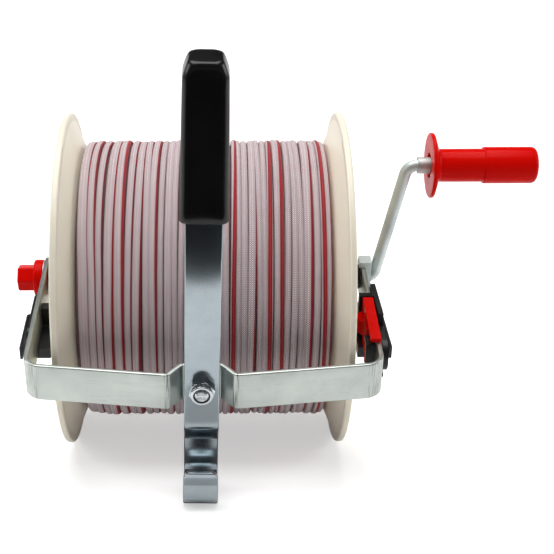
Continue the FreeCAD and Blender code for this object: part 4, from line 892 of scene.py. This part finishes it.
# %% Crank handle
HANDLE = [(175.1, 0.0), (175.1, 9.4), (170.1, 9.4), (170.1, 24.6), (172.9, 24.6), (177.0, 12.5),
          (210.5, 12.5), (210.5, 13.8), (250.6, 13.8), (250.6, 0.0)]
HANDLE_ROUNDS = [0.3, 0.8, 1.2, 1.2, 2.0, 0.3, 0.8, 4.0]
handle = turned_piece("turned_handle", HANDLE, HANDLE_ROUNDS, "handle", red_plastic, "red_plastic",
                      height=SPINDLE_HEIGHT, steps=128, sharp=50)
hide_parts("crank_handle")

# %% [markdown]
# ## Hexagons
# The knob's boss and the lock nut are hexagons whose corners are softened. Six flat sides and a bevel
# would do, but then the round parts beside them don't join. So the hexagon is a radius for each direction:
# a high power of the cosines towards the sides takes their nearest one and rounds the corner between two.
# A cone cuts the nut's corners off at the faces.

# %% Radius of a soft hexagon
def hexagon_radius(angle, half_flats, softness):
    """Half the width over flats times a sum of cosines to a power, to minus one over the power.

    The cosines are towards the middles of three sides. The first corner lies at angle 0.
    """
    total = sum(np.abs(np.cos(angle - math.radians(side))) ** softness for side in (30, 90, 150))
    return half_flats * total ** (-1.0 / softness)


def soft_least(first, second, blend):
    """Smaller of two radii. Where their gap is under the blend, it is less by a smooth curve's height."""
    gap = np.clip((first - second) / blend, -1.0, 1.0)
    return np.minimum(first, second) - blend * (1 - np.abs(gap)) ** 2 / 4


print("corner of a 19 mm hexagon lies at", round(float(hexagon_radius(0.0, 9.5, 26)), 2), "mm")

# %% [markdown]
# ## Brake knob
# The red knob on the rod's left end has a round flange and a long hexagonal boss. Its rows are circles and
# then hexagons round the same line, joined to one skin, and the last rows close the end.

# %% Brake knob
KNOB_TURN = math.radians(44.7)
KNOB_HALF_FLATS = 9.4
KNOB_SOFTNESS = 26
KNOB_END_ROUND = 1.6
FLANGE_FACE, FLANGE_BACK, KNOB_END = -127.5, -134.9, -148.0
knob_angle = np.linspace(0, 2 * math.pi, 144, endpoint=False)
hexagon = hexagon_radius(knob_angle - KNOB_TURN, KNOB_HALF_FLATS, KNOB_SOFTNESS)


def knob_row(x, r):
    """Points at a place along the drum: y is r times the cosine and z r times the sine of the angles."""
    return np.stack(np.broadcast_arrays(x, r * np.cos(knob_angle), r * np.sin(knob_angle)), axis=-1)


flange = round_corners([(FLANGE_FACE, 0.0), (FLANGE_FACE, 14.5), (FLANGE_BACK, 14.5), (FLANGE_BACK, 11.0)],
                       [1.0, 1.5])
boss = round_corners([(FLANGE_BACK, -2.0), (FLANGE_BACK, 0.0), (KNOB_END, 0.0), (KNOB_END, KNOB_END_ROUND)],
                     [0.8, 1.5])
rows = [knob_row(x, r) for x, r in flange]
rows += [knob_row(x, hexagon - trim) for x, trim in boss]
rows += [knob_row(KNOB_END, (hexagon - KNOB_END_ROUND) * share) for share in (0.6, 0.3, 0.0)]
knob = make_piece("hex_knob", np.array(rows), "knob", red_plastic, "red_plastic", wrap_columns=True, sharp=60)
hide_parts("brake_knob")

# %% [markdown]
# ## Bolt
# The bolt clamps bar, strip and washer, and its thread shows past the nut. The CAD bolt is plain, so a
# piece with a real helical thread and a chamfered end stands on it. A groove that gets deeper and
# shallower with the angle and the place along the bolt is a helix.

# %% Bolt thread
BOLT_RADIUS = 5.0
THREAD_PITCH = 1.5
THREAD_DEPTH = 0.5
THREAD_START, THREAD_END = -143.5, -154.1
BOLT_TIP = [(-154.15, 4.5), (-155.1, 3.8), (-155.1, 1.5), (-155.1, 0.0)]


def front_rows(profile, radius_of, steps=96):
    """Rows of points round the bolt's line for pairs of a place along y and a number for the radius."""
    angle = np.linspace(0, 2 * math.pi, steps, endpoint=False)
    rows = []
    for y, number in profile:
        r = radius_of(y, number, angle)
        rows.append(np.stack(np.broadcast_arrays(BOLT_X + r * np.cos(angle), y, BOLT_Z + r * np.sin(angle)),
                             axis=-1))
    return np.array(rows)


def thread_radius(y, number, angle):
    """Bolt's radius minus half the depth times one minus the cosine of the turn, and plain at the tip."""
    groove = THREAD_DEPTH / 2 * (1 - np.cos(2 * math.pi * (y / THREAD_PITCH) - angle))
    return number - np.where(number < BOLT_RADIUS, 0.0, groove)


shank = [(y, BOLT_RADIUS) for y in np.arange(THREAD_START, THREAD_END, -THREAD_PITCH / 10)]
make_piece("bolt_thread", front_rows([(THREAD_START, 0.0)] + shank + BOLT_TIP, thread_radius), "frame",
           zinc_small, "zinc_plate", wrap_columns=True, sharp=50)

# %% [markdown]
# ## Lock nut
# The nut is a hexagon with a round collar that holds the black insert. Its rows go from the bar outwards.
# A negative number stands for the hexagon, a positive one for a circle of that radius.

# %% Lock nut
BAR_FACE = BAR_MIDDLE - 2.0
NUT_TURN = math.radians(12.0)
NUT_HEIGHT = 7.0
NUT_HALF_FLATS = 8.5
NUT_SOFTNESS = 60
CONE_RADIUS = 8.75
CONE_SLOPE = 1.7
CONE_BLEND = 0.3


def nut_radius(y, number, angle):
    """Hexagon trimmed by a cone at both faces, or a plain circle when the number is positive."""
    if number > 0:
        return np.full(len(angle), number)
    from_face = min(BAR_FACE - y, y - (BAR_FACE - NUT_HEIGHT))
    cone = CONE_RADIUS + max(from_face, 0.0) * CONE_SLOPE
    return soft_least(hexagon_radius(angle - NUT_TURN, NUT_HALF_FLATS, NUT_SOFTNESS), cone, CONE_BLEND)


hexes = [(BAR_FACE - s, -1.0) for s in (0.0, 0.15, 0.3, 0.6, 1.0, 3.5, 6.0, 6.4, 6.7, 6.85, NUT_HEIGHT)]
collar = round_corners([(0.0, 8.05), (-3.2, 8.0), (-3.2, 5.95), (-0.5, 5.95)], [0.9, 0.2])
collar = [(BAR_FACE - NUT_HEIGHT + y, r) for y, r in collar]
nut_points = front_rows([(BAR_FACE, 4.5)] + hexes + collar, nut_radius)
nut = make_piece("lock_nut", nut_points, "frame", zinc_small, "zinc_plate", wrap_columns=True, sharp=35)
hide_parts("frame_nut")

# %% [markdown]
# ## Grip
# The moulded grip narrows slightly upwards, with a lip at its lower end and a tapered, rounded top. Box
# modelling with subdivision would do too. A stack of rounded rectangles says the same with four numbers for
# each height. The lip's lower edge is level, and above it the lip rises in a low arch in front and behind.

# %% Hand grip
# Each section has a height, a width, a depth and a share of the arch. The first lies inside the bar.
GRIP_SECTIONS = [
    (140.0, 20.0, 3.0, 0.0), (137.0, 25.0, 12.0, 0.0), (134.6, 27.6, 19.0, 0.0), (134.05, 29.4, 21.6, 0.0),
    (134.0, 30.6, 23.4, 0.0), (134.3, 31.6, 25.2, 0.1), (135.2, 32.2, 26.8, 0.4), (136.8, 32.4, 27.8, 0.8),
    (139.0, 32.4, 28.3, 1.0), (142.0, 32.1, 28.4, 0.9), (147.0, 31.7, 28.1, 0.4), (155.0, 31.4, 28.0, 0.0),
    (175.0, 30.7, 27.7, 0.0), (195.0, 30.0, 27.4, 0.0), (215.0, 29.3, 27.2, 0.0), (228.0, 28.8, 27.0, 0.0),
    (231.5, 28.6, 27.0, 0.0), (233.0, 28.0, 26.9, 0.0), (235.5, 26.6, 26.7, 0.0), (238.5, 24.5, 26.2, 0.0),
    (240.6, 22.8, 25.2, 0.0), (241.8, 21.3, 23.8, 0.0), (242.4, 19.4, 21.9, 0.0), (242.6, 17.0, 19.5, 0.0),
    (242.6, 8.0, 9.0, 0.0), (242.6, 0.2, 0.2, 0.0)]
ARC_STEPS = 9
ARCH_HEIGHT = 2.5
ARCH_REACH = 0.42
CORNER_ROUND = 6.0
CORNER_SHARE = 0.45
# Four more points on each flat side, between the corner arcs, let the arch be smooth.
numbers = np.arange(4 * ARC_STEPS + 1.0)
on_flats = [corner * ARC_STEPS - 1 + share for corner in (1, 2, 3, 4) for share in (0.2, 0.4, 0.6, 0.8)]
numbers_used = np.sort(np.concatenate([numbers[:-1], on_flats]))
rows = []
for height, width, depth, arch in GRIP_SECTIONS:
    corner_round = min(CORNER_ROUND, CORNER_SHARE * width, CORNER_SHARE * depth)
    outline = strip_profile(depth, width, corner_round, ARC_STEPS)
    closed = np.concatenate([outline, outline[:1]])
    y, x = (np.interp(numbers_used, numbers, closed[:, k]) for k in range(2))
    raised = height + ARCH_HEIGHT * arch * np.clip(1 - (x / (ARCH_REACH * width)) ** 2, 0.0, 1.0)
    rows.append(tilted(np.stack([x, y + BAR_MIDDLE, raised], axis=-1)))
grip = make_piece("moulded_grip", np.array(rows), "frame", black_grip, "black_grip", wrap_columns=True,
                  caps=True, sharp=60)
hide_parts("hand_grip")

# %% [markdown]
# ## Pieces that keep the CAD shape
# Sheet and moulded pieces with sharp CAD edges get a narrow rounding, because real edges catch a thin line
# of light. Their shapes are right, so a copy with a bevel is enough. The copy first joins the points that
# lie together and the triangles that lie in one plane, because a bevel needs whole faces.

# %% Eased copies of CAD pieces
FLAT_ANGLE = math.radians(0.5)
EASED_ANGLE = math.radians(30)
SHARP_ANGLE = math.radians(50)


def eased(node, body, finish, width):
    """Show a copy of a CAD node with its sharp edges rounded by a bevel of the given width in mm."""
    mesh = frame["nodes"][node].data.copy()
    mesh.name = node + "_eased"
    shape = bmesh.new()
    shape.from_mesh(mesh)
    bmesh.ops.remove_doubles(shape, verts=shape.verts, dist=MERGE_DISTANCE)
    bmesh.ops.dissolve_limit(shape, angle_limit=FLAT_ANGLE, verts=shape.verts, edges=shape.edges)
    bmesh.ops.recalc_face_normals(shape, faces=shape.faces)
    shape.to_mesh(mesh)
    shape.free()
    if mesh.attributes.get("custom_normal"):
        mesh.attributes.remove(mesh.attributes["custom_normal"])
    mesh.shade_smooth()
    mesh.set_sharp_from_angle(angle=SHARP_ANGLE)
    mesh.materials.clear()
    mesh.materials.append(finish)
    piece = link(bpy.data.objects.new(node + "_eased", mesh))
    ease = piece.modifiers.new("ease", "BEVEL")
    ease.width = width / 1000
    ease.segments = 3
    ease.limit_method = "ANGLE"
    ease.angle_limit = EASED_ANGLE
    ease.harden_normals = True
    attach(piece, body)
    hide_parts(node)
    print(piece.name, len(mesh.polygons), "faces before easing")


eased("arm_clip_left", "frame", black_nylon, 0.7)
eased("arm_clip_right", "frame", black_nylon, 0.7)
eased("bearing_plate", "frame", zinc_rod, 0.5)
eased("lock_lever", "lock", red_plastic, 1.1)

# %% [markdown]
# ## Finishes of the other CAD pieces
# The flanges, the fixings and the small turned pieces are shown as packed, because the CAD model already
# has their full shape. They only take their finishes. The sleeve, its ring and the brake's washer are
# duller zinc.

# %% Finish the CAD pieces
SLOT_FINISHES = {"cream_plastic": cream_plastic, "fence_rope": rope_finish, "zinc_plate": zinc_small,
                 "red_plastic": red_plastic, "black_grip": black_grip, "black_nylon": black_nylon}
DULL_ZINC = ("handle_sleeve", "handle_ring", "brake_washer")
for part in frame["record"]["subparts"]:
    mesh = frame["nodes"][part["node"]].data
    mesh.materials.clear()
    mesh.materials.append(zinc_rod if part["node"] in DULL_ZINC else SLOT_FINISHES[part["material_slot"]])
